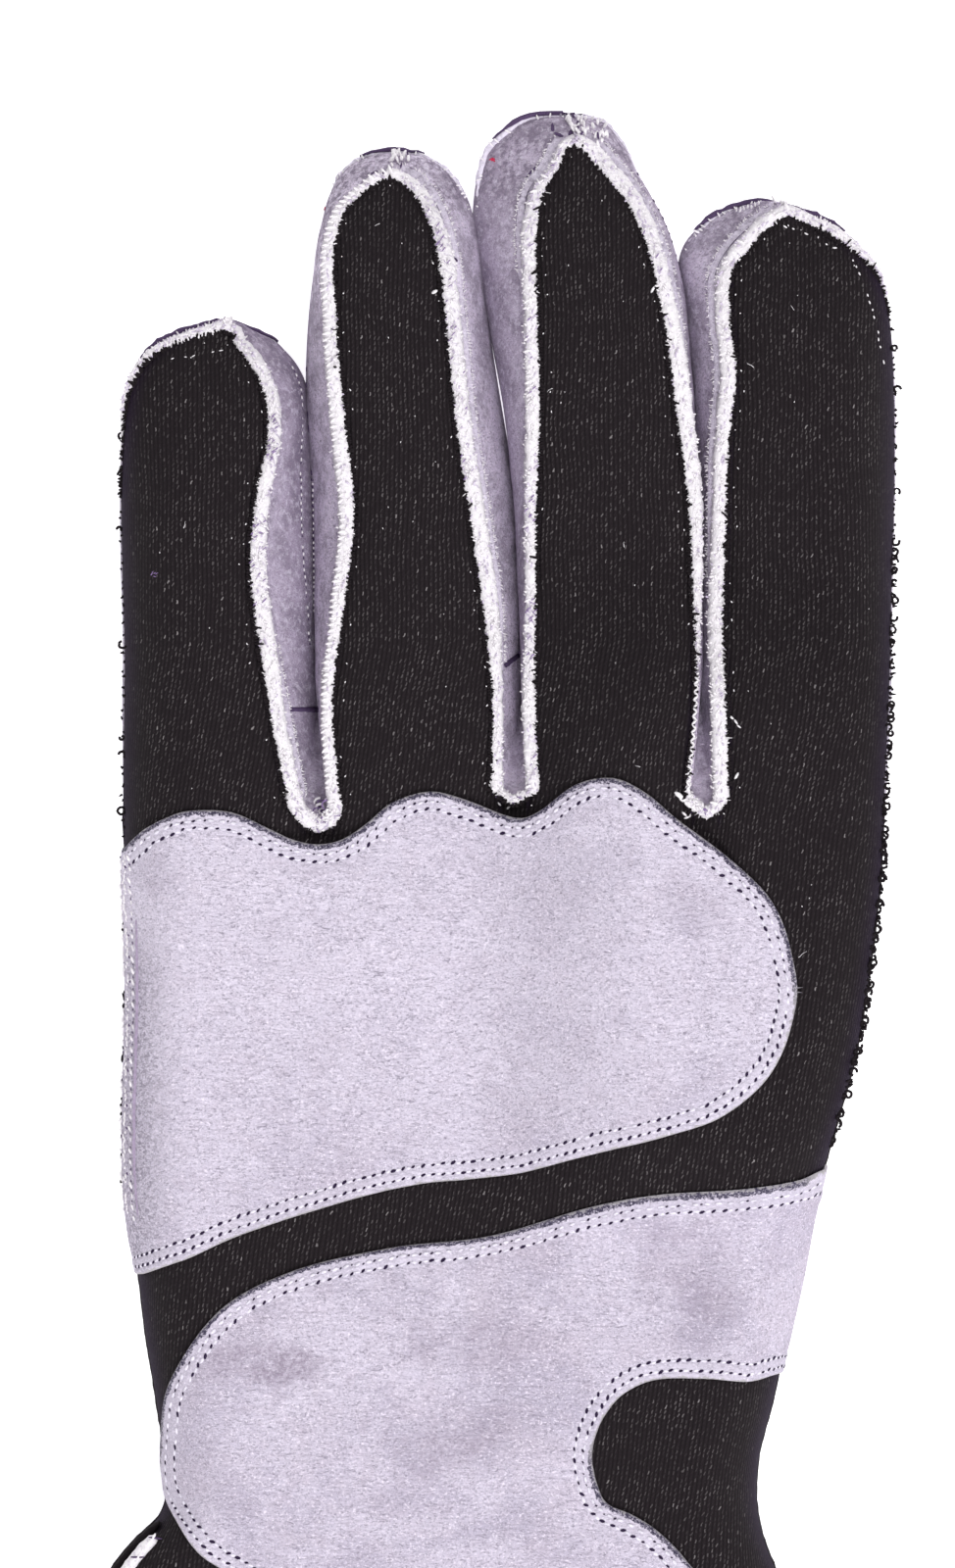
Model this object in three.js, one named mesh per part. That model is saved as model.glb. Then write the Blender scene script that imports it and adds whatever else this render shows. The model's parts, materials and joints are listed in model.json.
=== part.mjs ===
import * as THREE from 'three';

// A racing glove for the left hand, lying palm down with its thumb tucked under the palm.
// Millimetres. X runs from the little finger to the index finger, Y from the cuff to the
// fingertips and Z up through the back of the hand. Z = 0 is the surface it lies on.

// Driving sizes
const knitThickness = 1.4;
const leatherThickness = 1.3;
const wallThickness = 1.1;
const patchThickness = 1.2;
const seamGap = 0.35;
const patchGap = 0.6;
const ridgeRadius = 0.95;
const sideRadius = 9;
const fingerCrownRadius = 6;
const crownHeight = 1.6;
const palmEdgeRise = 2.0;
const palmEdgeRadius = 5;
const ridgeHeight = 13.6;
const tipDrop = 5.2;
const tipDropStart = 0.45;
const tipCrownLoss = 0.45;
const tipCrownStart = 0.6;

// The thumb lies flat under the palm, so the palm rises over it
const thumbHeight = 11;
const thumbRoom = thumbHeight + 0.45;
const backFollow = 0.72;
const liftAcross = { from: -6, to: 20 };
const liftStart = { from: -34, to: -16 };
const liftEnd = { from: 38, to: 64 };

const sideSeamHeight = palmEdgeRise + leatherThickness + seamGap;

const colours = { knit: 0x2b282b, leather: 0xd8d0e2, wall: 0xb3a6c3, ridge: 0xeeeaf4 };

const mix = THREE.MathUtils.lerp;
const smooth = THREE.MathUtils.smoothstep;
const clamp = THREE.MathUtils.clamp;

function table(columns, rows) {
  return rows.map((row) => Object.fromEntries(columns.map((name, i) => [name, row[i]])));
}

// Hand and cuff: the outline's two sides, and the height of the back, from the cuff upwards
const handSections = table(['y', 'left', 'right', 'back'], [
  [-121.4, -57.5, 44.5, 19.5],
  [-117, -57.4, 44.1, 19.2],
  [-106, -57.0, 43.0, 18.6],
  [-95, -56.5, 41.6, 18.0],
  [-85, -55.6, 39.6, 17.5],
  [-75, -53.4, 36.2, 17.0],
  [-71.5, -50.6, 34.8, 16.8],
  [-68, -47.1, 33.9, 16.6],
  [-60, -46.4, 33.9, 16.5],
  [-52, -47.4, 35.9, 16.3],
  [-44, -48.7, 37.5, 16.2],
  [-35, -49.8, 39.5, 16.0],
  [-25.7, -51.1, 41.2, 15.9],
  [-15.2, -51.4, 44.0, 15.8],
  [-6, -51.2, 46.6, 15.7],
  [3, -51.0, 48.2, 15.5],
  [12, -51.2, 49.4, 15.4],
  [20, -51.6, 50.3, 15.2],
]);

// Each finger from its crotch to its tip. The back columns are where its ridge seams run,
// and the palm columns are where the palm's edge runs.
const fingerColumns = ['backY', 'backLeft', 'backRight', 'palmY', 'palmLeft', 'palmRight'];
const fingers = [
  { name: 'little', sections: table(fingerColumns, [
    [28.4, -52.0, -29.2, 42.6, -52.0, -26.0],
    [38.9, -51.9, -30.7, 50.8, -51.9, -26.2],
    [49.5, -51.8, -32.3, 60.1, -52.2, -26.5],
    [60.1, -52.1, -33.5, 68.6, -52.3, -26.8],
    [69.3, -52.2, -32.9, 75.9, -52.2, -27.2],
    [77.2, -51.9, -31.4, 81.2, -51.8, -27.6],
    [83.8, -51.2, -31.9, 85.8, -50.7, -28.1],
    [88.0, -47.5, -33.9, 89.3, -48.4, -30.1],
    [90.4, -42.6, -36.0, 91.6, -45.2, -32.6],
    [92.0, -39.0, -36.4, 92.9, -41.0, -36.2],
  ]) },
  { name: 'ring', sections: table(fingerColumns, [
    [30.4, -23.6, -1.5, 45.0, -24.9, 0.9],
    [41.6, -24.2, -1.3, 54.1, -25.3, 1.1],
    [54.8, -22.8, -2.3, 64.0, -25.6, 0.6],
    [66.7, -21.6, -4.0, 74.6, -26.0, -0.2],
    [79.9, -22.8, -6.0, 85.1, -26.6, -1.9],
    [93.1, -23.8, -7.3, 97.0, -26.3, -3.7],
    [104.3, -23.8, -8.9, 106.9, -25.0, -5.0],
    [108.0, -22.6, -10.3, 111.0, -23.8, -5.8],
    [110.8, -19.9, -12.0, 114.2, -22.0, -8.2],
    [112.8, -17.2, -14.4, 116.2, -18.2, -11.8],
  ]) },
  { name: 'middle', sections: table(fingerColumns, [
    [30.4, 3.4, 24.5, 46.9, 1.9, 25.7],
    [41.6, 2.9, 25.3, 57.4, 2.0, 25.9],
    [54.8, 3.1, 24.9, 68.0, 1.5, 25.5],
    [68.0, 3.1, 24.1, 79.9, 0.4, 24.5],
    [81.2, 3.4, 22.9, 91.7, -1.7, 23.5],
    [95.7, 3.1, 21.3, 101.0, -3.1, 22.5],
    [105.5, 3.0, 18.9, 108.5, -4.2, 20.3],
    [110.2, 3.9, 16.5, 113.8, -4.0, 17.5],
    [114.2, 6.4, 13.2, 118.1, -1.8, 15.4],
    [117.1, 7.9, 10.5, 121.2, 3.6, 11.4],
  ]) },
  { name: 'index', sections: table(fingerColumns, [
    [29.7, 29.1, 50.7, 44.9, 26.9, 51.6],
    [41.6, 28.3, 51.3, 54.8, 27.0, 51.9],
    [53.5, 28.2, 51.8, 64.0, 26.8, 52.2],
    [65.3, 28.4, 52.2, 73.3, 26.1, 52.4],
    [75.9, 28.7, 52.4, 82.5, 25.3, 52.4],
    [86.5, 29.6, 52.2, 91.1, 24.7, 51.9],
    [94.5, 28.9, 51.5, 97.0, 24.2, 51.0],
    [100.0, 29.3, 49.8, 102.0, 23.8, 48.9],
    [104.2, 32.3, 45.6, 105.9, 25.6, 45.0],
    [107.6, 36.2, 39.2, 109.0, 31.0, 37.0],
  ]) },
];
const tipIndex = fingers[0].sections.length - 1;

// Between two fingers: where the ridge seam turns on the back, and the palm's edge below it
const crotches = table(['x', 'y', 'palmX', 'palmY'], [
  [-26.5, 25.7, -25.4, 41.3],
  [0.9, 28.9, 1.4, 43.6],
  [26.7, 27.3, 26.3, 43.2],
]);
const crotchHalfWidth = 1.9;
const crotchRise = 1.1;
const palmCrotchHalfWidth = 0.45;

// The outer sides of the little and index fingers have no side wall but near their tips:
// there the knit leaves the palm's edge and climbs to the ridge seam.
const outerWrap = {
  little: [1, 1, 1, 1, 0.85, 0.5, 0.2, 0, 0, 0],
  index: [1, 1, 1, 1, 1, 0.95, 0.65, 0.25, 0, 0],
};

// Where the grid's columns stand across each finger, from its left edge to its right edge
const columnShares = {
  little: [0, 0.03, 0.12, 0.28, 0.55, 0.82, 1],
  ring: [0, 0.12, 0.3, 0.5, 0.7, 0.88, 1],
  middle: [0, 0.12, 0.3, 0.5, 0.7, 0.88, 1],
  index: [0, 0.18, 0.45, 0.72, 0.88, 0.97, 1],
};

function lookUp(rows, key, y) {
  const above = rows.findIndex((row) => row.y >= y);
  if (above === 0) return rows[0][key];
  if (above < 0) return rows[rows.length - 1][key];
  const low = rows[above - 1];
  const high = rows[above];
  return mix(low[key], high[key], (y - low.y) / (high.y - low.y));
}

// A quarter round: 0 at an edge, 1 from one radius inwards
function roll(distance, radius) {
  const inward = clamp(distance / radius, 0, 1);
  return Math.sqrt(1 - (1 - inward) ** 2);
}

function palmLift(x, y) {
  const across = smooth(x, liftAcross.from, liftAcross.to);
  const along = smooth(y, liftStart.from, liftStart.to) * (1 - smooth(y, liftEnd.from, liftEnd.to));
  return thumbRoom * across * along;
}

// The back of the hand and cuff, rolling down to the palm's edge on both sides
function backHeight(x, y) {
  const lift = palmLift(x, y);
  const top = lookUp(handSections, 'back', y) + backFollow * lift;
  const seam = sideSeamHeight + lift;
  const leftRoll = roll(x - lookUp(handSections, 'left', y), sideRadius);
  const rightRoll = roll(lookUp(handSections, 'right', y) - x, sideRadius);
  return seam + (top - seam) * leftRoll * rightRoll;
}

function ridgeZ(x, y, index) {
  const drop = tipDrop * smooth(index / tipIndex, tipDropStart, 1);
  return ridgeHeight - drop + backFollow * palmLift(x, y);
}

function isOuterEdge(finger, side) {
  return finger.name === (side === 'left' ? 'little' : 'index');
}

// Height of the knit's edge on one side of a finger
function backEdgeZ(finger, side, index) {
  const section = finger.sections[index];
  const x = section[side === 'left' ? 'backLeft' : 'backRight'];
  const ridge = ridgeZ(x, section.backY, index);
  if (!isOuterEdge(finger, side)) return ridge;
  const seam = sideSeamHeight + palmLift(x, section.backY);
  return mix(ridge, seam, outerWrap[finger.name][index]);
}

// A sheet of even thickness from a grid of points on its outer side. Cells may be left out.
function sheetGeometry(grid, thickness, isOpen = () => false) {
  const rowCount = grid.length;
  const columnCount = grid[0].length;
  const normals = grid.map((row) => row.map(() => new THREE.Vector3()));
  const cells = [];
  const has = (r, c) => r >= 0 && c >= 0 && r < rowCount - 1 && c < columnCount - 1 && !isOpen(r, c);
  for (let r = 0; r < rowCount - 1; r += 1) {
    for (let c = 0; c < columnCount - 1; c += 1) {
      if (!has(r, c)) continue;
      cells.push([r, c]);
      const across = grid[r][c + 1].clone().add(grid[r + 1][c + 1]).sub(grid[r][c]).sub(grid[r + 1][c]);
      const along = grid[r + 1][c].clone().add(grid[r + 1][c + 1]).sub(grid[r][c]).sub(grid[r][c + 1]);
      const normal = across.cross(along).normalize();
      for (const [dr, dc] of [[0, 0], [0, 1], [1, 0], [1, 1]]) normals[r + dr][c + dc].add(normal);
    }
  }
  const outer = (r, c) => grid[r][c];
  const inner = (r, c) => grid[r][c].clone().addScaledVector(normals[r][c].clone().normalize(), -thickness);
  const quads = [];
  const edge = (a, b) => quads.push([outer(...b), outer(...a), inner(...a), inner(...b)]);
  for (const [r, c] of cells) {
    quads.push([outer(r, c), outer(r, c + 1), outer(r + 1, c + 1), outer(r + 1, c)]);
    quads.push([inner(r, c), inner(r + 1, c), inner(r + 1, c + 1), inner(r, c + 1)]);
    if (!has(r - 1, c)) edge([r, c], [r, c + 1]);
    if (!has(r, c + 1)) edge([r, c + 1], [r + 1, c + 1]);
    if (!has(r + 1, c)) edge([r + 1, c + 1], [r + 1, c]);
    if (!has(r, c - 1)) edge([r + 1, c], [r, c]);
  }
  return quadGeometry(quads);
}

// A bar through rings of points. Point k of a ring faces point n - 1 - k, so the ends close.
function barGeometry(rings) {
  const count = rings[0].length;
  const quads = [];
  for (let i = 0; i < rings.length - 1; i += 1) {
    for (let k = 0; k < count; k += 1) {
      const next = (k + 1) % count;
      quads.push([rings[i][k], rings[i][next], rings[i + 1][next], rings[i + 1][k]]);
    }
  }
  for (let k = 0; k < count / 2 - 1; k += 1) {
    const first = rings[0];
    const last = rings[rings.length - 1];
    quads.push([first[k + 1], first[k], first[count - 1 - k], first[count - 2 - k]]);
    quads.push([last[k], last[k + 1], last[count - 2 - k], last[count - 1 - k]]);
  }
  return quadGeometry(quads);
}

function quadGeometry(quads) {
  const triangles = quads.flatMap(([a, b, c, d]) => [[a, b, c], [a, c, d]]);
  let volume = 0;
  for (const [a, b, c] of triangles) volume += a.dot(b.clone().cross(c)) / 6;
  const facing = volume < 0 ? triangles.map(([a, b, c]) => [a, c, b]) : triangles;
  const geometry = new THREE.BufferGeometry().setFromPoints(facing.flat());
  geometry.computeVertexNormals();
  return geometry;
}

function piece(name, geometry, colour, roughness) {
  const material = new THREE.MeshStandardMaterial({ color: colour, roughness, metalness: 0 });
  const mesh = new THREE.Mesh(geometry, material);
  mesh.name = name;
  return mesh;
}

// Left-hand normals of a path seen from above
function leftNormals(points) {
  return points.map((point, i) => {
    const before = points[Math.max(i - 1, 0)];
    const after = points[Math.min(i + 1, points.length - 1)];
    return new THREE.Vector3(before.y - after.y, after.x - before.x, 0).normalize();
  });
}

function offsetPath(points, distance) {
  const normals = leftNormals(points);
  return points.map((point, i) => point.clone().addScaledVector(normals[i], distance));
}

// Back panel: the hand, the cuff and the four finger backs in one piece of knit
const edgeInset = 0.2;

function fingerBackPoint(finger, index, share) {
  const section = finger.sections[index];
  const left = section.backLeft + edgeInset;
  const right = section.backRight - edgeInset;
  const x = mix(left, right, share);
  const leftZ = backEdgeZ(finger, 'left', index);
  const rightZ = backEdgeZ(finger, 'right', index);
  const tipFade = 1 - tipCrownLoss * smooth(index / tipIndex, tipCrownStart, 1);
  const top = ridgeZ(x, section.backY, index) + crownHeight * tipFade;
  const halfWidth = (right - left) / 2;
  const radius = (side) => Math.min(isOuterEdge(finger, side) ? sideRadius : fingerCrownRadius, halfWidth);
  const leftRoll = roll(x - left, radius('left'));
  const rightRoll = roll(right - x, radius('right'));
  const z = top - (top - leftZ) * (1 - leftRoll) - (top - rightZ) * (1 - rightRoll);
  return new THREE.Vector3(x, section.backY, z);
}

// Height lost towards a column that ends in a crotch
function valley(finger, share) {
  const { backLeft, backRight } = finger.sections[0];
  const x = mix(backLeft, backRight, share);
  const leftRoll = isOuterEdge(finger, 'left') ? 1 : roll(x - backLeft, fingerCrownRadius);
  const rightRoll = isOuterEdge(finger, 'right') ? 1 : roll(backRight - x, fingerCrownRadius);
  return crownHeight * (1 - Math.min(leftRoll, rightRoll));
}

// The last row of the hand, which dips at each crotch
function crotchRow() {
  const row = [];
  fingers.forEach((finger, f) => {
    const before = crotches[f - 1];
    const after = crotches[f];
    const first = finger.sections[0];
    const left = before ? before.x + crotchHalfWidth : first.backLeft + edgeInset;
    const right = after ? after.x - crotchHalfWidth : first.backRight - edgeInset;
    const leftY = (before ?? after).y + crotchRise - edgeInset;
    const rightY = (after ?? before).y + crotchRise - edgeInset;
    for (const share of columnShares[finger.name]) {
      row.push({ x: mix(left, right, share), y: mix(leftY, rightY, share), dip: valley(finger, share) });
    }
    if (after) row.push({ x: after.x, y: after.y - edgeInset, dip: crownHeight });
  });
  return row;
}

function backGrid() {
  const crotch = crotchRow();
  const first = crotch[0].x;
  const span = crotch[crotch.length - 1].x - first;
  const valleyStart = -6;
  const rows = handSections.map(({ y, left, right }) => crotch.map((column) => {
    const share = (column.x - first) / span;
    const x = mix(left + edgeInset, right - edgeInset, share);
    const settled = share < 1e-6 || share > 1 - 1e-6;
    const dip = settled ? 0 : column.dip * smooth(y, valleyStart, column.y);
    return new THREE.Vector3(x, y, backHeight(settled ? (share < 0.5 ? left : right) : x, y) - dip);
  }));
  rows.push(crotch.map(({ x, y, dip }, c) => {
    const settled = c === 0 || c === crotch.length - 1;
    const z = backHeight(x, handSections[handSections.length - 1].y) - dip;
    return new THREE.Vector3(x, y, settled ? sideSeamHeight + palmLift(x, y) : z);
  }));
  for (let i = 0; i <= tipIndex; i += 1) {
    rows.push(fingers.flatMap((finger, f) => {
      const points = columnShares[finger.name].map((share) => fingerBackPoint(finger, i, share));
      const open = f < fingers.length - 1 ? [new THREE.Vector3()] : [];
      return [...points, ...open];
    }));
  }
  return rows;
}

// Cells between two fingers are open above the crotch row
const blockLength = columnShares.little.length + 1;
function isBetweenFingers(column) {
  const place = column % blockLength;
  return place === blockLength - 2 || place === blockLength - 1;
}

function backPanel() {
  const crotchIndex = handSections.length;
  const isOpen = (r, c) => r >= crotchIndex && isBetweenFingers(c);
  return sheetGeometry(backGrid(), knitThickness, isOpen);
}

// Palm panel: one piece of leather with four finger fronts and a hole for the thumb
const thumbHole = { fromY: -16, toY: 3, fromX: 24, toX: 41 };
const fingerBase = { y: 31, left: -51.9, right: 50.9 };

function palmRise(distance) {
  return palmEdgeRise * (1 - roll(distance, palmEdgeRadius));
}

function palmGrid() {
  const crotch = [];
  fingers.forEach((finger, f) => {
    const before = crotches[f - 1];
    const after = crotches[f];
    const first = finger.sections[0];
    const left = before ? before.palmX + palmCrotchHalfWidth : first.palmLeft;
    const right = after ? after.palmX - palmCrotchHalfWidth : first.palmRight;
    const y = after ? after.palmY : before.palmY;
    for (const share of columnShares[finger.name]) crotch.push({ x: mix(left, right, share), y });
    if (after) crotch.push({ x: after.palmX, y });
  });
  const first = crotch[0].x;
  const span = crotch[crotch.length - 1].x - first;
  const levels = [...handSections, fingerBase];
  const rows = levels.map(({ y, left, right }) => crotch.map((column) => {
    const x = mix(left, right, (column.x - first) / span);
    return new THREE.Vector3(x, y, palmRise(Math.min(x - left, right - x)) + palmLift(x, y));
  }));
  rows.push(crotch.map(({ x, y }) => {
    const rise = palmRise(Math.min(x - first, first + span - x));
    return new THREE.Vector3(x, y - palmCrotchHalfWidth, rise + palmLift(x, y));
  }));
  for (let i = 0; i <= tipIndex; i += 1) {
    rows.push(fingers.flatMap((finger, f) => {
      const { palmY, palmLeft, palmRight } = finger.sections[i];
      const tipDistance = finger.sections[tipIndex].palmY - palmY;
      const points = columnShares[finger.name].map((share) => {
        const x = mix(palmLeft, palmRight, share);
        const rise = palmRise(Math.min(x - palmLeft, palmRight - x, tipDistance));
        return new THREE.Vector3(x, palmY, rise + palmLift(x, palmY));
      });
      const open = f < fingers.length - 1 ? [new THREE.Vector3()] : [];
      return [...points, ...open];
    }));
  }
  return rows;
}

function palmPanel() {
  const grid = palmGrid().map((row) => row.reverse());
  const columnCount = grid[0].length;
  const crotchIndex = handSections.length + 1;
  const isInHole = (r, c) => {
    const centre = grid[r][c].clone().add(grid[r + 1][c + 1]).multiplyScalar(0.5);
    const inRows = centre.y > thumbHole.fromY && centre.y < thumbHole.toY;
    return inRows && centre.x > thumbHole.fromX && centre.x < thumbHole.toX;
  };
  const isOpen = (r, c) => {
    const fromLeft = columnCount - 2 - c;
    return (r >= crotchIndex && isBetweenFingers(fromLeft)) || (r < crotchIndex && isInHole(r, c));
  };
  return sheetGeometry(grid, leatherThickness, isOpen);
}

// Fourchettes: the side walls between fingers, each one strip from a fingertip round the
// crotch to the next fingertip
const leastWallHeight = 1;

function sideStations(finger, side, indices) {
  const key = side === 'left' ? 'Left' : 'Right';
  return indices.map((i) => {
    const section = finger.sections[i];
    const backX = section[`back${key}`];
    const palmX = section[`palm${key}`];
    const foot = sideSeamHeight + palmLift(palmX, section.palmY);
    const head = Math.max(backEdgeZ(finger, side, i), foot + leastWallHeight);
    return {
      top: new THREE.Vector3(backX, section.backY, head),
      foot: new THREE.Vector3(palmX, section.palmY, foot),
    };
  });
}

function crotchStations(crotch) {
  return [-1, 0, 1].map((step) => {
    const x = crotch.x + step * crotchHalfWidth;
    const y = crotch.y + Math.abs(step) * crotchRise;
    const palmX = crotch.palmX + step * palmCrotchHalfWidth;
    const palmY = crotch.palmY + Math.abs(step) * palmCrotchHalfWidth;
    return {
      top: new THREE.Vector3(x, y, ridgeHeight + backFollow * palmLift(x, y)),
      foot: new THREE.Vector3(palmX, palmY, sideSeamHeight + palmLift(palmX, palmY)),
    };
  });
}

function range(from, to) {
  const step = from < to ? 1 : -1;
  return Array.from({ length: Math.abs(to - from) + 1 }, (_, i) => from + step * i);
}

const littleTaper = 4;
const indexTaper = 6;

function fourchetteStations(f) {
  const lower = fingers[f];
  const upper = fingers[f + 1];
  const start = f === 0 ? sideStations(lower, 'left', range(littleTaper, tipIndex)) : [];
  const end = f === 2 ? sideStations(upper, 'right', range(tipIndex, indexTaper)) : [];
  return [
    ...start,
    ...sideStations(lower, 'right', range(tipIndex, 0)),
    ...crotchStations(crotches[f]),
    ...sideStations(upper, 'left', range(0, tipIndex)),
    ...end,
  ];
}

const wallLevels = [0, 0.33, 0.67, 1];
const wallBulge = 0.5;
const wallTopGap = 0.25;
const footInset = 0.1;
const endTrim = 0.35;

// Two strips meet at the tip of the ring and of the middle finger, so their ends keep a gap
function trimEnds(points, f) {
  const trimmed = points.map((point) => point.clone());
  const last = points.length - 1;
  if (f > 0) trimmed[0].lerp(points[1], endTrim);
  if (f < 2) trimmed[last].lerp(points[last - 1], endTrim);
  return trimmed;
}

function fourchette(f) {
  const stations = fourchetteStations(f);
  const tops = offsetPath(trimEnds(stations.map(({ top }) => top), f), wallTopGap);
  const feet = offsetPath(trimEnds(stations.map(({ foot }) => foot), f), -footInset - wallThickness);
  const insides = wallLevels.map((level) => tops.map((top, i) => top.clone().lerp(feet[i], level)));
  const bulges = wallLevels.map((level) => wallBulge * Math.sin(Math.PI * level));
  const inner = insides.map((points, k) => offsetPath(points, bulges[k]));
  const outer = insides.map((points, k) => offsetPath(points, bulges[k] + wallThickness));
  const rings = tops.map((_, i) => [
    ...outer.map((points) => points[i]),
    ...inner.map((points) => points[i]).reverse(),
  ]);
  return barGeometry(rings);
}

// Ridge seams: the raw edges that stand up along the top of each fourchette
const ridgeOut = 0.5;
const ridgeUp = 1.6;
const ridgeSides = 6;

function ridgeSeam(f) {
  const centres = offsetPath(trimEnds(fourchetteStations(f).map(({ top }) => top), f), ridgeOut);
  const normals = leftNormals(centres);
  const rings = centres.map((centre, i) => Array.from({ length: ridgeSides }, (_, k) => {
    const angle = (Math.PI * 2 * (k + 0.5)) / ridgeSides;
    const point = centre.clone().addScaledVector(normals[i], ridgeRadius * Math.cos(angle));
    point.z += ridgeUp + ridgeRadius * Math.sin(angle);
    return point;
  }));
  return barGeometry(rings);
}

// Suede patches lie on the back. A point past the hand's side is held just inside it.
const patchSideInset = 0.4;

function drape(x, y) {
  const left = lookUp(handSections, 'left', y) + patchSideInset;
  const right = lookUp(handSections, 'right', y) - patchSideInset;
  const held = clamp(x, left, right);
  const step = 0.2;
  const slopeX = (backHeight(held + step, y) - backHeight(held - step, y)) / (2 * step);
  const slopeY = (backHeight(held, y + step) - backHeight(held, y - step)) / (2 * step);
  const normal = new THREE.Vector3(-slopeX, -slopeY, 1).normalize();
  const point = new THREE.Vector3(held, y, backHeight(held, y));
  return point.addScaledVector(normal, patchGap + patchThickness);
}

// Knuckle patch: its upper and lower edge across the hand. The first columns follow the
// rolled side, at a distance from it.
const knuckleSide = table(['inside', 'top', 'bottom'], [
  [0.4, 22.3, -35.0],
  [1.5, 23.4, -34.8],
  [3.2, 25.0, -34.2],
  [5.6, 26.4, -33.4],
  [8.6, 27.4, -32.4],
]);
const knuckleAcross = table(['x', 'top', 'bottom'], [
  [-37, 27.2, -30.0],
  [-32, 25.0, -28.2],
  [-28.7, 23.5, -27.1],
  [-25.4, 22.9, -26.1],
  [-22.1, 23.6, -25.1],
  [-18.8, 25.8, -24.2],
  [-15.5, 28.5, -23.4],
  [-10.5, 30.0, -22.5],
  [-5.6, 28.9, -22.1],
  [0.9, 26.5, -21.3],
  [4.3, 27.3, -20.5],
  [9.2, 30.9, -19.1],
  [14.2, 31.8, -17.8],
  [18.5, 29.8, -16.8],
  [22.5, 26.4, -15.7],
  [27.4, 22.8, -14.1],
  [31.5, 19.4, -11.5],
  [34.8, 16.0, -8.2],
  [37.0, 11.8, -4.2],
  [38.3, 6.6, 0.4],
]);
const patchShares = [0, 0.1, 0.3, 0.5, 0.7, 0.9, 1];

function knucklePatch() {
  const sideColumns = knuckleSide.map(({ inside, top, bottom }) => patchShares.map((share) => {
    const y = mix(top, bottom, share);
    return drape(lookUp(handSections, 'left', y) + inside, y);
  }));
  const acrossColumns = knuckleAcross.map(({ x, top, bottom }) => patchShares.map((share) => {
    return drape(x, mix(top, bottom, share));
  }));
  return sheetGeometry([...sideColumns, ...acrossColumns], patchThickness);
}

// Wrist patch: a C, open towards the index side, from its upper arm round to its lower arm
const wristStations = table(['outerX', 'outerY', 'innerX', 'innerY'], [
  [44.5, -19.8, 38.5, -48.0],
  [41.4, -20.8, 35.2, -48.5],
  [38.2, -22.0, 32.0, -49.2],
  [30.7, -23.1, 26.7, -48.8],
  [20.0, -23.8, 20.0, -48.9],
  [10.9, -25.6, 15.6, -50.8],
  [-2.3, -29.6, 13.0, -53.8],
  [-15.5, -31.2, 11.8, -56.5],
  [-28.7, -34.3, 11.4, -58.5],
  [-38.6, -39.6, 11.4, -60.1],
  [-44.8, -48.8, 11.6, -61.2],
  [-46.2, -56.5, 11.8, -62.2],
  [-46.0, -64.0, 12.2, -63.4],
  [-42.2, -71.3, 12.8, -64.8],
  [-37.3, -74.9, 14.0, -65.9],
  [-27.0, -80.5, 16.5, -66.9],
  [-14.0, -86.0, 19.5, -68.7],
  [0, -90.0, 22.5, -71.4],
  [14.0, -93.0, 25.0, -74.3],
  [27.0, -95.0, 28.5, -77.5],
  [36.5, -96.0, 33.5, -79.8],
  [39.8, -96.4, 36.6, -80.7],
  [43.0, -96.6, 39.5, -81.0],
]);
const wristShares = [0, 0.025, 0.06, 0.11, 0.18, 0.3, 0.6, 1];

function wristPatch() {
  const rows = wristStations.map(({ outerX, outerY, innerX, innerY }) => wristShares.map((share) => {
    return drape(mix(outerX, innerX, share), mix(outerY, innerY, share));
  }));
  return sheetGeometry(rows, patchThickness);
}

// Thumb: its sections from the root to the tip, as the outline's sides and the heights of
// its floor side and of its two edges
const thumbSections = table(['y', 'left', 'right', 'bottom', 'edge'], [
  [-28, 23.0, 38.0, 0.9, 1.1],
  [-24, 20.5, 40.4, 0.4, 3.2],
  [-18, 19.4, 42.2, 0, 7.0],
  [-10, 19.2, 44.4, 0, 9.0],
  [0, 19.4, 46.4, 0, 6.4],
  [10, 19.8, 47.4, 0, 4.8],
  [20, 20.2, 47.2, 0, 4.8],
  [29, 21.0, 46.2, 0, 4.8],
  [36, 22.8, 44.4, 0, 4.8],
  [41, 25.6, 41.6, 0.4, 4.8],
  [44, 29.4, 37.8, 1.6, 4.8],
]);
const thumbShares = [0, 0.08, 0.25, 0.5, 0.75, 0.92, 1];
const thumbFrontStart = 4;
const thumbEdgeGap = 1.7;
const thumbTip = { from: 32, to: 44, loss: 0.45 };

function thumbSheet(startRow, isFront) {
  const rows = thumbSections.slice(startRow).map(({ y, left, right, bottom, edge }) => thumbShares.map((share) => {
    const x = mix(left, right, share);
    const crown = Math.sqrt(1 - (2 * share - 1) ** 4);
    const tipFade = 1 - thumbTip.loss * smooth(y, thumbTip.from, thumbTip.to);
    const frontEdge = edge + thumbEdgeGap;
    const z = isFront ? frontEdge + (thumbHeight - frontEdge) * crown * tipFade : mix(edge, bottom, crown);
    return new THREE.Vector3(x, y, z);
  }));
  return sheetGeometry(isFront ? rows : rows.map((row) => row.reverse()), leatherThickness);
}

// Assembly
const glove = new THREE.Group();
glove.add(piece('back_panel', backPanel(), colours.knit, 0.95));
glove.add(piece('palm_panel', palmPanel(), colours.leather, 0.85));
const gapNames = ['little_ring', 'ring_middle', 'middle_index'];
gapNames.forEach((name, f) => {
  glove.add(piece(`fourchette_${name}`, fourchette(f), colours.wall, 0.85));
  glove.add(piece(`seam_${name}`, ridgeSeam(f), colours.ridge, 0.95));
});
glove.add(piece('knuckle_patch', knucklePatch(), colours.leather, 0.9));
glove.add(piece('wrist_patch', wristPatch(), colours.leather, 0.9));
glove.add(piece('thumb_back', thumbSheet(0, false), colours.knit, 0.95));
glove.add(piece('thumb_front', thumbSheet(thumbFrontStart, true), colours.leather, 0.85));

// The origin stands under the middle of the glove's box
const box = new THREE.Box3().setFromObject(glove);
const middle = box.getCenter(new THREE.Vector3());
glove.position.set(-middle.x, -middle.y, -box.min.z);

export default glove;
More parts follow.
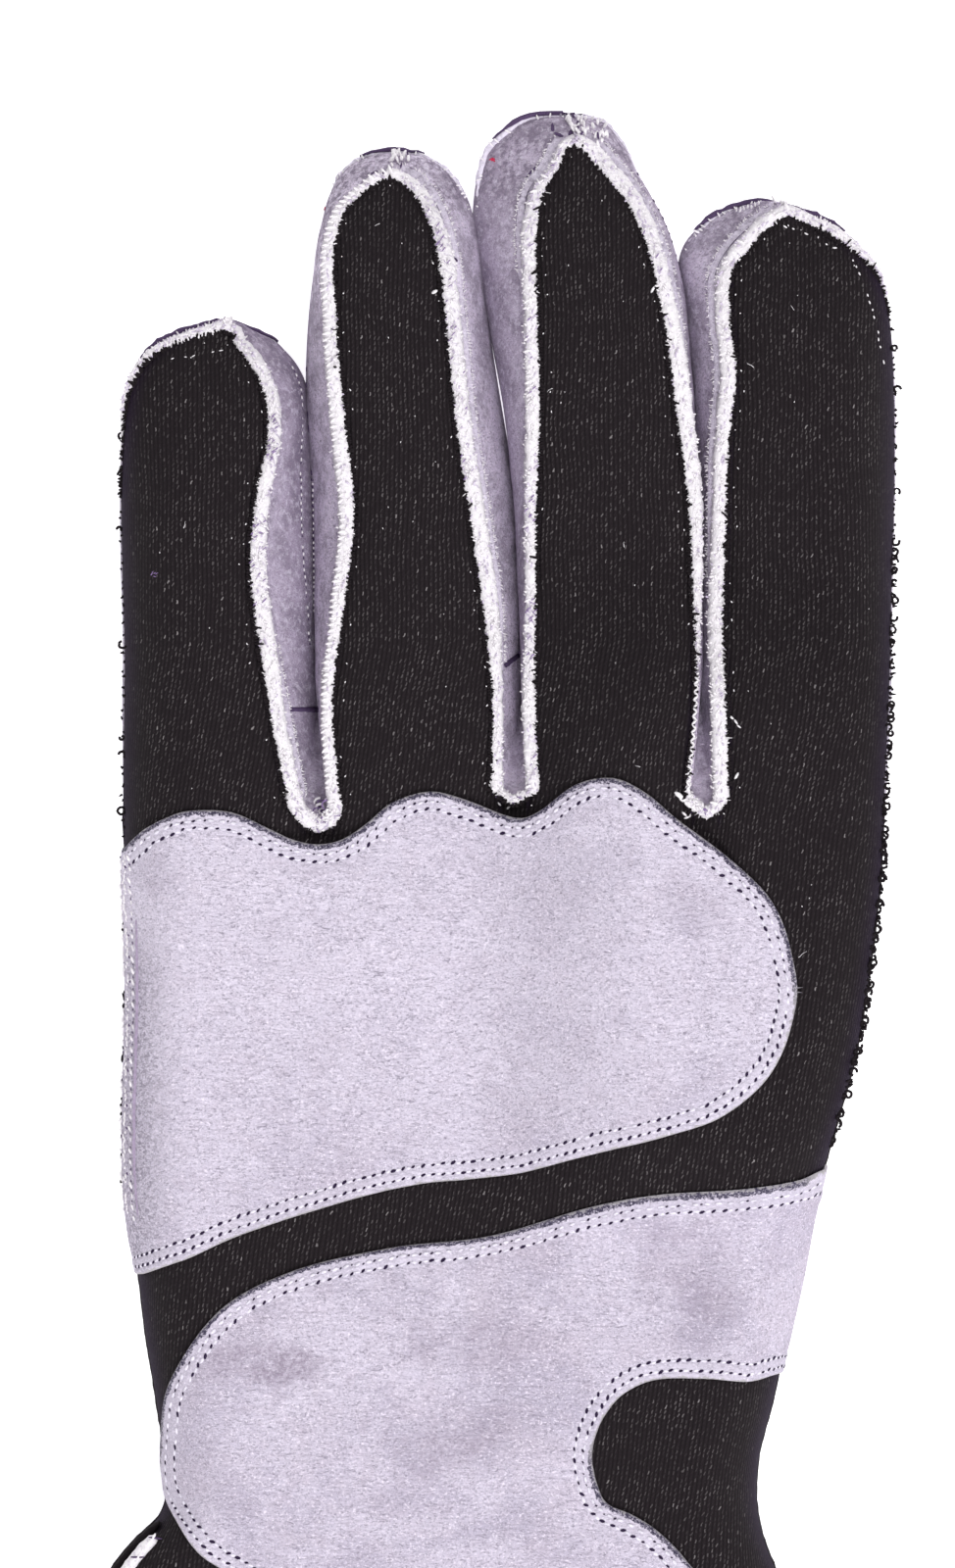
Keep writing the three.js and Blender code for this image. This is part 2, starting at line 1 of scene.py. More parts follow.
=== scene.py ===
import json
import math
import random
from bisect import bisect_right

import bmesh
import bpy
from mathutils import Matrix, Vector, noise
from mathutils.bvhtree import BVHTree
from mathutils.kdtree import KDTree

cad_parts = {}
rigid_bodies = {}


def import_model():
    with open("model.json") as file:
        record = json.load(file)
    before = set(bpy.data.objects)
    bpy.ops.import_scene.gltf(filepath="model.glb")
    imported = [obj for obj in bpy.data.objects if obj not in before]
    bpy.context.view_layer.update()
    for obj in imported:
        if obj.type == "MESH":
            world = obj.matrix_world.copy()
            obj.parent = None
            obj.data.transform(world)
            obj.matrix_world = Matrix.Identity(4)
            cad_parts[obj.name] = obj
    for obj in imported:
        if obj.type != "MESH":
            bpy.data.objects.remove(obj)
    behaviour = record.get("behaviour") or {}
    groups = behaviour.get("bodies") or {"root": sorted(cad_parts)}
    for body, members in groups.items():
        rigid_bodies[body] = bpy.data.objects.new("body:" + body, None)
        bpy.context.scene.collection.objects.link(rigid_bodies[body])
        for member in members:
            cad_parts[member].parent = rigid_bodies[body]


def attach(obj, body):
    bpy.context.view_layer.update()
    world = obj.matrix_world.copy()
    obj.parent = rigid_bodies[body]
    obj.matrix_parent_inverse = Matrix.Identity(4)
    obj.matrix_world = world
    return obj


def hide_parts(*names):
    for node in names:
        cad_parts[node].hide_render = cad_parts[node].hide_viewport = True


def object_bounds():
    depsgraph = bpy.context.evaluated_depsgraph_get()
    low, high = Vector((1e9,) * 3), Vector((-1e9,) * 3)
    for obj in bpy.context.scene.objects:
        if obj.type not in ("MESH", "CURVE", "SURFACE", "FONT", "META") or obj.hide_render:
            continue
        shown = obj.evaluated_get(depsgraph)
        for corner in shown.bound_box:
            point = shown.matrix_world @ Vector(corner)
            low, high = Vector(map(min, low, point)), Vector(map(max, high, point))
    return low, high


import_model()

bl_info = {
    "name": "Racing glove",
    "version": (1, 0, 0),
    "blender": (4, 5, 0),
    "location": "3D View > Sidebar > Glove",
    "description": "Dresses the frame of a left racing glove in knit, suede, raw seams and stitching",
    "category": "Add Mesh",
}

# The tables below are in millimetres, X towards the index finger, Y towards the fingertips
# and Z up. The cuff's left edge and the middle fingertip place them in the frame.
MM = 0.001
TABLE_LEFT = -57.5
TABLE_TOP = 121.2
CAD_LOW, CAD_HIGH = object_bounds()
ORIGIN = Vector((CAD_LOW.x - TABLE_LEFT * MM, CAD_HIGH.y - TABLE_TOP * MM, 0))
TO_FRAME = Matrix.Translation(ORIGIN) @ Matrix.Scale(MM, 4)
UP = Vector((0, 0, 1))
DOWN = Vector((0, 0, -1))

KNIT_THICKNESS = 1.4
LEATHER_THICKNESS = 1.3
WALL_THICKNESS = 1.1
SIDE_RADIUS = 9
CROWN_RADIUS = 6
CROWN_HEIGHT = 1.6
PALM_EDGE_RISE = 2.9
PALM_EDGE_RADIUS = 5
RIDGE_Z = 13.6
TIP_DROP = 5.2
TIP_DROP_SPAN = (0.4, 0.9)
SIDE_SEAM_Z = 3.65

THUMB_HEIGHT = 11
THUMB_ROOM = 11.45
BACK_FOLLOW = 0.72
LIFT_ACROSS = (-6, 20)
LIFT_START = (-34, -16)
LIFT_END = (38, 64)
KNIT_LEAN = 0.15
KNIT_LEAN_END = 50

# Waves of slack in the worn knit: height, stretch along Y, length and seed
SLACK_WAVES = ((0.35, 0.6, 26, 3.1), (0.12, 1, 9, 9.7))


def mix(a, b, share):
    return a + (b - a) * share


def clamp(value, low=0.0, high=1.0):
    return max(low, min(high, value))


def smooth(value, start, end):
    share = clamp((value - start) / (end - start))
    return share * share * (3 - 2 * share)


def roll(distance, radius):
    """A quarter round: 0 at an edge, 1 from one radius inwards."""
    inward = clamp(distance / radius)
    return math.sqrt(1 - (1 - inward) ** 2)


def table(columns, rows):
    names = columns.split()
    return [dict(zip(names, row)) for row in rows]


class Track:
    """A smooth line through numbers that stand at given places."""

    def __init__(self, values, places=None, end_slope=None):
        self.values = list(values)
        self.places = list(places) if places else list(range(len(self.values)))
        gaps = [b - a for a, b in zip(self.places, self.places[1:])]
        rises = [(b - a) / gap for a, b, gap in zip(self.values, self.values[1:], gaps)]
        inner = [
            (rises[i] * gaps[i + 1] + rises[i + 1] * gaps[i]) / (gaps[i] + gaps[i + 1])
            for i in range(len(rises) - 1)
        ]
        last = rises[-1] if end_slope is None else end_slope
        self.slopes = [rises[0], *inner, last]

    def __call__(self, place):
        i = min(max(bisect_right(self.places, place) - 1, 0), len(self.places) - 2)
        gap = self.places[i + 1] - self.places[i]
        t = clamp((place - self.places[i]) / gap)
        a, b = self.values[i], self.values[i + 1]
        m, n = self.slopes[i] * gap, self.slopes[i + 1] * gap
        return (
            a * (2 * t**3 - 3 * t**2 + 1) + m * (t**3 - 2 * t**2 + t)
            + b * (3 * t**2 - 2 * t**3) + n * (t**3 - t**2)
        )


class Line:
    """A smooth line in space through points, read by its length."""

    def __init__(self, points, lengths=None):
        if lengths is None:
            lengths = [0.0]
            for a, b in zip(points, points[1:]):
                lengths.append(lengths[-1] + (b - a).length)
        self.lengths = lengths
        self.length = lengths[-1]
        self.tracks = [Track([p[k] for p in points], lengths) for k in range(3)]

    def __call__(self, length):
        return Vector([track(length) for track in self.tracks])

    def heading(self, length, reach=0.4):
        ahead = self(min(length + reach, self.length))
        return (ahead - self(max(length - reach, 0))).normalized()

    def outward(self, length, reach=0.4):
        """To the left of the line, seen from above."""
        heading = self.heading(length, reach)
        return Vector((-heading.y, heading.x, 0)).normalized()

    def steps(self, pitch, start=0.0, end=None):
        """Lengths about one pitch apart."""
        end = self.length if end is None else end
        count = max(2, round((end - start) / pitch))
        return [mix(start, end, i / count) for i in range(count + 1)]


def tracks_of(rows, places=None):
    """One track for each column of a table."""
    return {name: Track([row[name] for row in rows], places) for name in rows[0]}


# Hand and cuff: the outline's two sides, and the height of the back, from the cuff upwards
HAND = table("y left right back", [
    (-121.4, -57.5, 44.5, 19.5),
    (-117, -57.4, 44.1, 19.2),
    (-106, -57.0, 43.0, 18.6),
    (-95, -56.5, 41.6, 18.0),
    (-85, -55.6, 39.6, 17.5),
    (-75, -53.4, 36.2, 17.0),
    (-71.5, -50.6, 34.8, 16.8),
    (-68, -47.1, 33.9, 16.6),
    (-60, -46.4, 33.9, 16.5),
    (-52, -47.4, 35.9, 16.3),
    (-44, -48.7, 37.5, 16.2),
    (-35, -49.8, 39.5, 16.0),
    (-25.7, -51.1, 41.2, 15.9),
    (-15.2, -51.4, 44.0, 15.8),
    (-6, -51.2, 46.6, 15.7),
    (3, -51.0, 48.2, 15.5),
    (12, -51.2, 49.4, 15.4),
    (20, -51.6, 50.3, 15.2),
])
HAND_Y = [row["y"] for row in HAND]
HAND_TOP = HAND_Y[-1]
HAND_TRACKS = tracks_of(HAND, HAND_Y)
hand_left, hand_right, hand_back = [HAND_TRACKS[name] for name in ("left", "right", "back")]

FINGER_COLUMNS = "back_y back_left back_right palm_y palm_left palm_right"

# Each finger from its crotch to its tip. The back columns are where its ridge seams run,
# and the palm columns are where the palm's edge runs. The last row is the apex.
FINGERS = {
    "little": table(FINGER_COLUMNS, [
        (28.4, -52.0, -28.5, 42.6, -52.0, -26.0),
        (38.9, -51.9, -30.6, 50.8, -51.9, -26.2),
        (49.5, -51.8, -32.2, 60.1, -52.2, -26.5),
        (60.1, -52.1, -33.5, 68.6, -52.3, -26.8),
        (69.3, -52.2, -32.9, 75.9, -52.2, -27.2),
        (77.2, -51.9, -31.4, 81.2, -51.8, -27.6),
        (83.8, -51.2, -31.9, 85.8, -50.7, -28.1),
        (88.0, -49.0, -33.9, 89.3, -48.6, -30.1),
        (90.6, -45.0, -36.0, 91.6, -45.2, -32.6),
        (92.1, -40.6, -36.6, 92.9, -41.0, -36.2),
        (92.6, -37.9, -37.9, 93.3, -38.6, -38.6),
    ]),
    "ring": table(FINGER_COLUMNS, [
        (30.4, -23.5, -1.5, 45.0, -24.9, 1.6),
        (41.6, -24.2, -1.4, 54.1, -25.3, 1.7),
        (54.8, -22.8, -2.3, 64.0, -25.6, 1.0),
        (66.7, -21.6, -4.0, 74.6, -26.0, -0.2),
        (79.9, -22.8, -6.0, 85.1, -26.6, -1.9),
        (93.1, -23.8, -7.3, 97.0, -26.3, -3.7),
        (104.3, -23.8, -8.9, 106.9, -25.0, -5.0),
        (108.0, -22.6, -10.3, 111.0, -23.8, -5.8),
        (110.8, -19.9, -12.0, 114.2, -22.0, -8.2),
        (112.8, -17.2, -14.4, 116.2, -18.2, -11.8),
        (113.3, -15.8, -15.8, 116.6, -15.0, -15.0),
    ]),
    "middle": table(FINGER_COLUMNS, [
        (30.4, 3.4, 24.1, 46.9, 2.6, 25.0),
        (41.6, 2.9, 25.1, 57.4, 2.6, 25.1),
        (54.8, 3.1, 25.4, 68.0, 1.9, 24.7),
        (68.0, 3.1, 25.2, 79.9, 0.4, 24.0),
        (81.2, 3.4, 23.7, 91.7, -1.7, 23.5),
        (95.7, 3.1, 21.5, 101.0, -3.1, 22.5),
        (105.5, 3.0, 18.9, 108.5, -4.2, 20.3),
        (110.2, 3.9, 16.5, 113.8, -4.0, 17.5),
        (114.2, 6.4, 13.2, 118.1, -1.8, 15.4),
        (117.1, 7.9, 10.5, 121.2, 3.6, 11.4),
        (117.7, 9.1, 9.1, 121.4, 7.5, 7.5),
    ]),
    "index": table(FINGER_COLUMNS, [
        (29.7, 28.5, 50.7, 44.9, 26.2, 51.6),
        (41.6, 28.2, 51.3, 54.8, 26.2, 51.9),
        (53.5, 27.9, 51.8, 64.0, 26.0, 52.2),
        (65.3, 28.4, 52.2, 73.3, 25.6, 52.4),
        (75.9, 28.7, 52.4, 82.5, 25.3, 52.4),
        (86.5, 29.6, 52.2, 91.1, 24.7, 51.9),
        (94.5, 28.9, 51.5, 97.0, 24.2, 51.0),
        (100.0, 29.3, 49.8, 102.0, 23.8, 48.9),
        (104.2, 32.3, 45.6, 105.9, 25.6, 45.0),
        (107.6, 36.2, 39.2, 109.0, 31.0, 37.0),
        (108.2, 37.7, 37.7, 109.6, 34.0, 34.0),
    ]),
}
FINGER_NAMES = list(FINGERS)
TIP = len(FINGERS["little"]) - 1
FINGER_TRACKS = {name: tracks_of(rows) for name, rows in FINGERS.items()}

# Between two fingers: where the ridge seam turns on the back, and the palm's edge below it
CROTCHES = table("x y palm_x palm_y half ridge", [
    (-25.3, 25.6, -25.4, 41.3, 1.9, 1.1),
    (0.9, 28.9, 2.1, 43.6, 1.9, 0.65),
    (26.5, 27.3, 25.6, 43.2, 1.7, 0.9),
])
CROTCH_RISE = 1.1
PALM_CROTCH_HALF_WIDTH = 0.45

# The outer sides of the little and index fingers have no side wall but near their tips:
# there the knit leaves the palm's edge and climbs to the ridge seam.
OUTER_WRAP = {
    "little": Track([1, 1, 1, 1, 0.85, 0.5, 0.2, 0, 0, 0, 0]),
    "index": Track([1, 1, 1, 1, 1, 0.95, 0.65, 0.25, 0, 0, 0]),
}

# How far each ridge seam reaches to both sides of its line, from crotch to apex
RIDGE_HALF_WIDTHS = {
    ("little", "left"): [0, 0, 0, 0, 0, 0.1, 0.42, 0.5, 0.5, 0.55, 0.6],
    ("little", "right"): [1.15, 1.0, 1.2, 1.15, 1.0, 0.95, 0.95, 0.95, 0.9, 0.8, 0.7],
    ("ring", "left"): [0.95, 0.8, 0.95, 1.15, 1.1, 0.95, 0.85, 0.7, 0.65, 0.7, 0.75],
    ("ring", "right"): [0.85, 0.75, 1.15, 1.15, 1.1, 1.1, 1.1, 1.0, 0.9, 0.8, 0.75],
    ("middle", "left"): [0.95, 0.95, 0.75, 0.9, 1.05, 1.0, 1.0, 0.85, 0.62, 0.7, 0.7],
    ("middle", "right"): [0.3, 0.12, 0.62, 0.97, 1.2, 1.05, 1.05, 1.1, 1.1, 0.95, 0.8],
    ("index", "left"): [1.15, 1.12, 1.15, 1.0, 1.0, 1.1, 1.05, 1.0, 0.95, 0.9, 0.8],
    ("index", "right"): [0, 0, 0, 0, 0, 0, 0, 0.35, 0.65, 0.8, 0.8],
}
RIDGE_TRACKS = {key: Track(widths) for key, widths in RIDGE_HALF_WIDTHS.items()}


def palm_lift(x, y):
    """How far the palm rises over the tucked thumb."""
    along = smooth(y, *LIFT_START) * (1 - smooth(y, *LIFT_END))
    return THUMB_ROOM * smooth(x, *LIFT_ACROSS) * along


def softness(x, y):
    """The height of the worn knit's slack."""
    return sum(
        height * noise.noise(Vector((x, y * stretch, seed)) / length)
        for height, stretch, length, seed in SLACK_WAVES
    )


def back_height(x, y):
    """The outside of the knit over the hand and cuff."""
    lift = palm_lift(x, y)
    top = hand_back(y) + BACK_FOLLOW * lift
    seam = SIDE_SEAM_Z + lift
    rolled = roll(x - hand_left(y), SIDE_RADIUS) * roll(hand_right(y) - x, SIDE_RADIUS)
    return seam + (top + softness(x, y) - seam) * rolled


def is_outer(finger, side):
    return finger == ("little" if side == "left" else "index")


def ridge_z(x, y, t):
    return RIDGE_Z - TIP_DROP * smooth(t / TIP, *TIP_DROP_SPAN) + BACK_FOLLOW * palm_lift(x, y)


def back_edge_z(finger, side, t):
    """Height of the knit's edge on one side of a finger."""
    tracks = FINGER_TRACKS[finger]
    x = tracks["back_" + side](t)
    y = tracks["back_y"](t)
    ridge = ridge_z(x, y, t)
    if not is_outer(finger, side):
        return ridge
    return mix(ridge, SIDE_SEAM_Z + palm_lift(x, y), clamp(OUTER_WRAP[finger](t)))


# Materials

CLOTH_SPECULAR = 0.12
MM_IN_METRE = 1000


class Nodes:
    """A material's node tree, with one line for each node."""

    def __init__(self, name, base, roughness, **sockets):
        self.material = bpy.data.materials.new(name)
        self.material.use_nodes = True
        self.tree = self.material.node_tree
        self.shader = self.tree.nodes["Principled BSDF"]
        self.shader.inputs["Base Color"].default_value = (*base, 1)
        self.shader.inputs["Roughness"].default_value = roughness
        for socket, value in sockets.items():
            self.shader.inputs[socket.replace("_", " ")].default_value = value

    def add(self, kind, inputs=(), **settings):
        node = self.tree.nodes.new(kind)
        for key, value in settings.items():
            setattr(node, key, value)
        for key, value in dict(inputs).items():
            if isinstance(value, bpy.types.NodeSocket):
                self.tree.links.new(value, node.inputs[key])
            else:
                node.inputs[key].default_value = value
        return node

    def math(self, operation, a, b=0.5, c=0.5):
        return self.add("ShaderNodeMath", {0: a, 1: b, 2: c}, operation=operation).outputs[0]

    def plus(self, a, b):
        return self.math("ADD", a, b)

    def times(self, a, b):
        return self.math("MULTIPLY", a, b)

    def distance(self, a, b):
        return self.math("ABSOLUTE", self.math("SUBTRACT", a, b))

    def axes(self, vector):
        return self.add("ShaderNodeSeparateXYZ", {"Vector": vector}).outputs

    def ramp(self, value, start, end, low=0.0, high=1.0):
        """A value that climbs smoothly from low to high."""
        node = self.add(
            "ShaderNodeMapRange",
            {"Value": value, "From Min": start, "From Max": end, "To Min": low, "To Max": high},
            interpolation_type="SMOOTHSTEP",
        )
        return node.outputs["Result"]

    def attribute(self, name):
        return self.add("ShaderNodeAttribute", attribute_name=name).outputs["Fac"]

    def place(self, uv=None, scale=(1, 1, 1)):
        """Object coordinates, or a UV map, in units of scale."""
        if uv:
            source = self.add("ShaderNodeUVMap", uv_map=uv).outputs["UV"]
        else:
            source = self.add("ShaderNodeTexCoord").outputs["Object"]
        return self.add("ShaderNodeMapping", {"Vector": source, "Scale": scale}).outputs["Vector"]

    def here(self, across=1, up=1):
        """Object coordinates in millimetres. A share under 1 stretches what lies on them."""
        return self.place(scale=(across * MM_IN_METRE, MM_IN_METRE, up * MM_IN_METRE))

    def noise(self, vector, scale, detail=2.0, roughness=0.5, distortion=0.0):
        node = self.add("ShaderNodeTexNoise", {
            "Vector": vector, "Scale": scale, "Detail": detail,
            "Roughness": roughness, "Distortion": distortion,
        })
        return node.outputs["Fac"]

    def blend(self, share, a, b):
        """Colour a where share is 0 and b where it is 1."""
        node = self.add("ShaderNodeMix", data_type="RGBA")
        for socket, value in ((0, share), (6, a), (7, b)):
            if isinstance(value, bpy.types.NodeSocket):
                self.tree.links.new(value, node.inputs[socket])
            else:
                node.inputs[socket].default_value = (*value, 1) if socket else value
        return node.outputs[2]

    def bump(self, height, strength, distance, normal=None):
        inputs = {"Height": height, "Strength": strength, "Distance": distance}
        if normal:
            inputs["Normal"] = normal
        return self.add("ShaderNodeBump", inputs).outputs["Normal"]

    def finish(self, colour=None, normal=None):
        if colour:
            self.tree.links.new(colour, self.shader.inputs["Base Color"])
        if normal:
            self.tree.links.new(normal, self.shader.inputs["Normal"])
        return self.material


def cloth(name, base, roughness):
    return Nodes(name, base, roughness, Specular_IOR_Level=CLOTH_SPECULAR)


def tinted(colour, share):
    """A colour made darker, or lighter with a share over 1."""
    return [min(1, channel * share) for channel in colour]


def knit_material(settings):
    """Fine vertical ribs of dark yarn with pale dashes along their crests. The UV map is in millimetres."""
    n = cloth("ribbed_knit", settings.yarn, 0.95)
    rib, stitch = settings.rib_pitch / MM, settings.stitch_pitch / MM
    weave = n.place(uv="weave")
    waver = n.ramp(n.noise(weave, 0.06, 1), 0, 1, -0.6, 0.6)
    axes = n.axes(weave)
    across = n.math("DIVIDE", n.plus(axes["X"], waver), rib)
    index = n.math("FLOOR", across)
    phase = n.add("ShaderNodeTexWhiteNoise", {"W": index}, noise_dimensions="1D").outputs["Value"]
    along = n.plus(n.math("DIVIDE", axes["Y"], stitch), phase)
    crest = n.math("SINE", n.times(n.math("FRACT", across), math.pi))
    loop = n.math("ABSOLUTE", n.math("SINE", n.times(along, math.pi)))
    height = n.times(crest, n.math("MULTIPLY_ADD", loop, 0.45, 0.55))
    cell = n.add("ShaderNodeCombineXYZ", {"X": index, "Y": n.math("FLOOR", along)}).outputs["Vector"]
    chance = n.add("ShaderNodeTexWhiteNoise", {"Vector": cell}).outputs["Value"]
    patchy = n.noise(weave, 0.16, 3, 0.7)
    crown = n.attribute("crown")
    jitter = n.ramp(n.noise(weave, 1.3, 1), 0.25, 0.75, 0.3, 0.7)
    off_line = n.math("SUBTRACT", n.math("FRACT", across), jitter)
    off_line = n.math("MULTIPLY_ADD", n.math("SUBTRACT", n.math("FRACT", along), 0.5), -0.22, off_line)
    lit = n.times(n.ramp(n.math("ABSOLUTE", off_line), 0.04, 0.19, 1, 0), n.ramp(loop, 0.2, 0.75))
    drawn = n.times(n.math("POWER", chance, 1.8), n.ramp(patchy, 0.35, 0.65, 0.16, 0.5))
    drawn = n.plus(drawn, n.ramp(chance, 0.975, 0.995, 0, 0.6))
    # Painted shade also fades the pale dashes where the knit rolls away
    fleck = n.times(n.times(lit, drawn), n.ramp(crown, 0.35, 0.95, 0.25, 1))
    fuzz = n.noise(n.place(uv="weave", scale=(1, 0.5, 1)), 5.5, 2, 0.7)
    colour = n.blend(n.ramp(crest, 0.1, 0.9), settings.shade, settings.yarn)
    # Painted shade: where the knit rolls away or dips beside a ridge it turns to the rolled colour
    colour = n.blend(n.ramp(crown, 0.2, 0.75, 0.95, 0), colour, settings.rolled)
    colour = n.blend(fleck, colour, settings.fleck)
    colour = n.blend(n.ramp(fuzz, 0.6, 0.8, 0, 0.1), colour, settings.fleck)
    normal = n.bump(height, 0.6, 0.2 * MM)
    normal = n.bump(fuzz, 0.5, 0.12 * MM, normal)
    return n.finish(colour, normal)


# Where the patches are soiled: middles, reaches and how strongly
SMUDGES = table("x y reach_x reach_y share", [
    (-30.8, -46.6, 10, 3.2, 0.85),
    (-38.0, -63.0, 7, 8, 0.3),
    (-5.5, -56.0, 8, 6, 0.5),
    (28.0, -34.5, 9, 9, 0.5),
    (-2.0, -44.0, 12, 5, 0.35),
    (10.0, -80.0, 14, 5, 0.3),
    (-22.0, 20.5, 6, 2.5, 0.4),
    (-45.0, 19.0, 4, 3, 0.35),
    (27.0, 15.0, 7, 5, 0.3),
])
SMUDGE_TINT = (0.67, 0.62, 0.64)


def suede_nodes(name, base, warm, dark, grain=1.0, dirt_and_shade=0.0):
    """Split leather: cloudy tones, a short nap combed across, and a fine grain."""
    n = cloth(name, base, 0.97)
    here = n.here()
    clouds = n.noise(here, 0.07, 3, 0.6, 0.6)
    pink = n.noise(n.here(up=0.7), 0.085, 3, 0.65, 0.5)
    mottle = n.noise(here, 0.5, 3, 0.65)
    nap = n.noise(n.here(across=0.4), 2.1, 4, 0.8, 1.2)
    fine = n.noise(n.here(across=0.8), 3.2, 2, 0.8)
    axes = n.axes(here)
    # Real dirt on the patches, thickening towards the cuff and the index side, as much as the last argument
    # asks
    soil_and_shade = n.ramp(axes["Y"], 5, -32)
    soil_and_shade = n.plus(soil_and_shade, n.ramp(axes["X"], -25, 30, 0, 0.45))
    soil_and_shade = n.times(soil_and_shade, dirt_and_shade)
    colour = n.blend(n.times(soil_and_shade, 0.24), base, dark)
    share = n.math("MULTIPLY_ADD", soil_and_shade, 0.5, 0.16)
    colour = n.blend(n.times(n.ramp(clouds, 0.42, 0.62, 0, 0.95), share), colour, dark)
    colour = n.blend(n.times(n.ramp(pink, 0.45, 0.7, 0, 0.55), share), colour, warm)
    colour = n.blend(n.ramp(mottle, 0.42, 0.72, 0, 0.35), colour, warm)
    colour = n.blend(n.ramp(nap, 0.53, 0.66, 0, grain), colour, tinted(dark, 0.68))
    deep = n.ramp(fine, 0.53, 0.7, 0, 0.7 * grain)
    colour = n.blend(deep, colour, tinted(dark, 0.6))
    colour = n.blend(n.ramp(fine, 0.3, 0.46, 0.85 * grain, 0), colour, tinted(base, 1.32))
    normal = n.bump(nap, 0.8 * grain, 0.3 * MM)
    normal = n.bump(fine, 0.9 * grain, 0.16 * MM, normal)
    return n, colour, normal


def smudged(n, colour, dark):
    """A few soft grey smudges with clouded borders."""
    here = n.here()
    axes = n.axes(here)
    stray = n.ramp(n.noise(here, 0.16, 3, 0.65), 0.2, 0.8, -0.9, 0.9)
    grit = n.ramp(n.noise(here, 1.6, 4, 0.8), 0.36, 0.62, 0.25, 1.1)
    for smudge in SMUDGES:
        far = stray
        for axis in ("x", "y"):
            reach = smudge["reach_" + axis]
            place = n.math("MULTIPLY_ADD", axes[axis.upper()], 1 / reach, -smudge[axis] / reach)
            far = n.plus(far, n.times(place, place))
        share = n.times(n.ramp(far, -0.3, 1.3, smudge["share"], 0), grit)
        colour = n.blend(share, colour, dark)
    return colour


def suede_tones(settings):
    return settings.suede, settings.suede_warm, settings.suede_dark


def patch_material(settings):
    """Patch suede, pressed along its stitching, with a skived edge in painted shade where it faces the
    fingertips and in painted light where it faces the cuff.
    """
    n, colour, normal = suede_nodes("patch_suede", *suede_tones(settings), dirt_and_shade=1.0)
    colour = smudged(n, colour, [c * share for c, share in zip(settings.suede_dark, SMUDGE_TINT)])
    edge, tone = n.attribute("edge"), n.attribute("tone")
    here = n.here()
    axes = n.axes(here)
    # Painted shade on the suede beside the fold where the patch turns down the hand's side, broken up by
    # noise
    beside = n.times(n.ramp(axes["X"], -47.6, -42.0, 0.65, 0), n.ramp(axes["Y"], 16, 2))
    marks = n.ramp(n.noise(n.here(across=0.3), 2.2, 3, 0.7, 0.8), 0.46, 0.6, 0.2, 1.5)
    colour = n.blend(n.times(beside, marks), colour, tinted(settings.suede_dark, 0.6))
    colour = n.blend(n.ramp(edge, 2.3, 3.3, 0.35, 0), colour, settings.margin)
    strands = n.noise(here, 3.2, 4, 0.85)
    # Painted shade: the cut edge's dark colour, streaked by strands, where it faces the fingertips and away
    # from the key light; where it faces the cuff it takes the pale colour as painted light
    dirt_and_shade = n.blend(n.ramp(strands, 0.48, 0.66), settings.cut_shaded, settings.suede)
    skived = n.blend(tone, settings.cut_lit, dirt_and_shade)
    ragged = n.plus(edge, n.ramp(n.noise(here, 1.3, 3, 0.7), 0.2, 0.8, -0.3, 0.3))
    depth = n.math("MULTIPLY_ADD", tone, 0.5, 0.2)
    past = n.math("SUBTRACT", ragged, depth)
    colour = n.blend(n.ramp(past, -0.08, 0.05, 1, 0), colour, skived)
    # Painted light: a thin pale line along the outermost lip of an edge that faces the fingertips
    lip = n.times(n.ramp(ragged, 0.04, 0.2, 0.75, 0), tone)
    colour = n.blend(lip, colour, settings.cut_lit)
    row = n.math("MULTIPLY_ADD", tone, settings.row_shift / MM, settings.first_row / MM)
    first = n.ramp(n.distance(edge, row), 0.0, 0.6)
    second = n.ramp(n.distance(edge, settings.second_row / MM), 0.0, 0.6)
    normal = n.bump(n.times(first, second), 0.3, 0.3 * MM, normal)
    return n.finish(colour, normal)


def wall_material(settings):
    """Side walls between the fingers: greyer suede, with painted shade towards the fold, and mottled at the
    tips.
    """
    n, colour, normal = suede_nodes("wall_suede", settings.wall, settings.wall_warm, settings.wall_dark, 1.05)
    level, depth, tip, margin = [n.attribute(name) for name in ("level", "depth", "tip", "margin")]
    here = n.here()
    # Painted shade towards the fold, as strong as each wall's shade value
    soil_and_shade = n.times(n.ramp(level, 0.0, 0.9, 0.6, 1.0), n.attribute("shade"))
    colour = n.blend(soil_and_shade, colour, settings.wall_dark)
    deep = tinted(settings.wall_dark, 0.62)
    colour = n.blend(n.ramp(n.noise(here, 0.22, 3, 0.65), 0.42, 0.62, 0, 0.55), colour, deep)
    colour = n.blend(n.ramp(n.noise(here, 1.1, 4, 0.8), 0.48, 0.64, 0, 0.6), colour, settings.wall_light)
    # More painted shade at the very foot of the wall
    colour = n.blend(n.ramp(level, 0.78, 1.0, 0, 0.55), colour, deep)
    blotches = n.times(n.ramp(n.noise(here, 0.75, 4, 0.8), 0.42, 0.62, 0, 0.9), tip)
    colour = n.blend(blotches, colour, deep)
    frayed = n.plus(depth, n.ramp(n.noise(here, 0.9, 3, 0.7), 0.2, 0.8, -0.35, 0.35))
    flecks = n.ramp(n.noise(here, 1.4, 3, 0.8), 0.36, 0.64, 0.25, 1)
    light = n.times(n.times(n.ramp(frayed, 0.85, 1.2, 0.9, 0), margin), flecks)
    colour = n.blend(light, colour, settings.wall_light)
    # Painted shade in the groove just below the pale margin
    groove = n.ramp(n.distance(frayed, 1.25), 0.06, 0.3, 0.75, 0)
    colour = n.blend(n.times(groove, margin), colour, settings.crease)
    return n.finish(colour, normal)


def palm_material(settings):
    n, colour, normal = suede_nodes("palm_suede", *suede_tones(settings), 1.1)
    return n.finish(colour, normal)


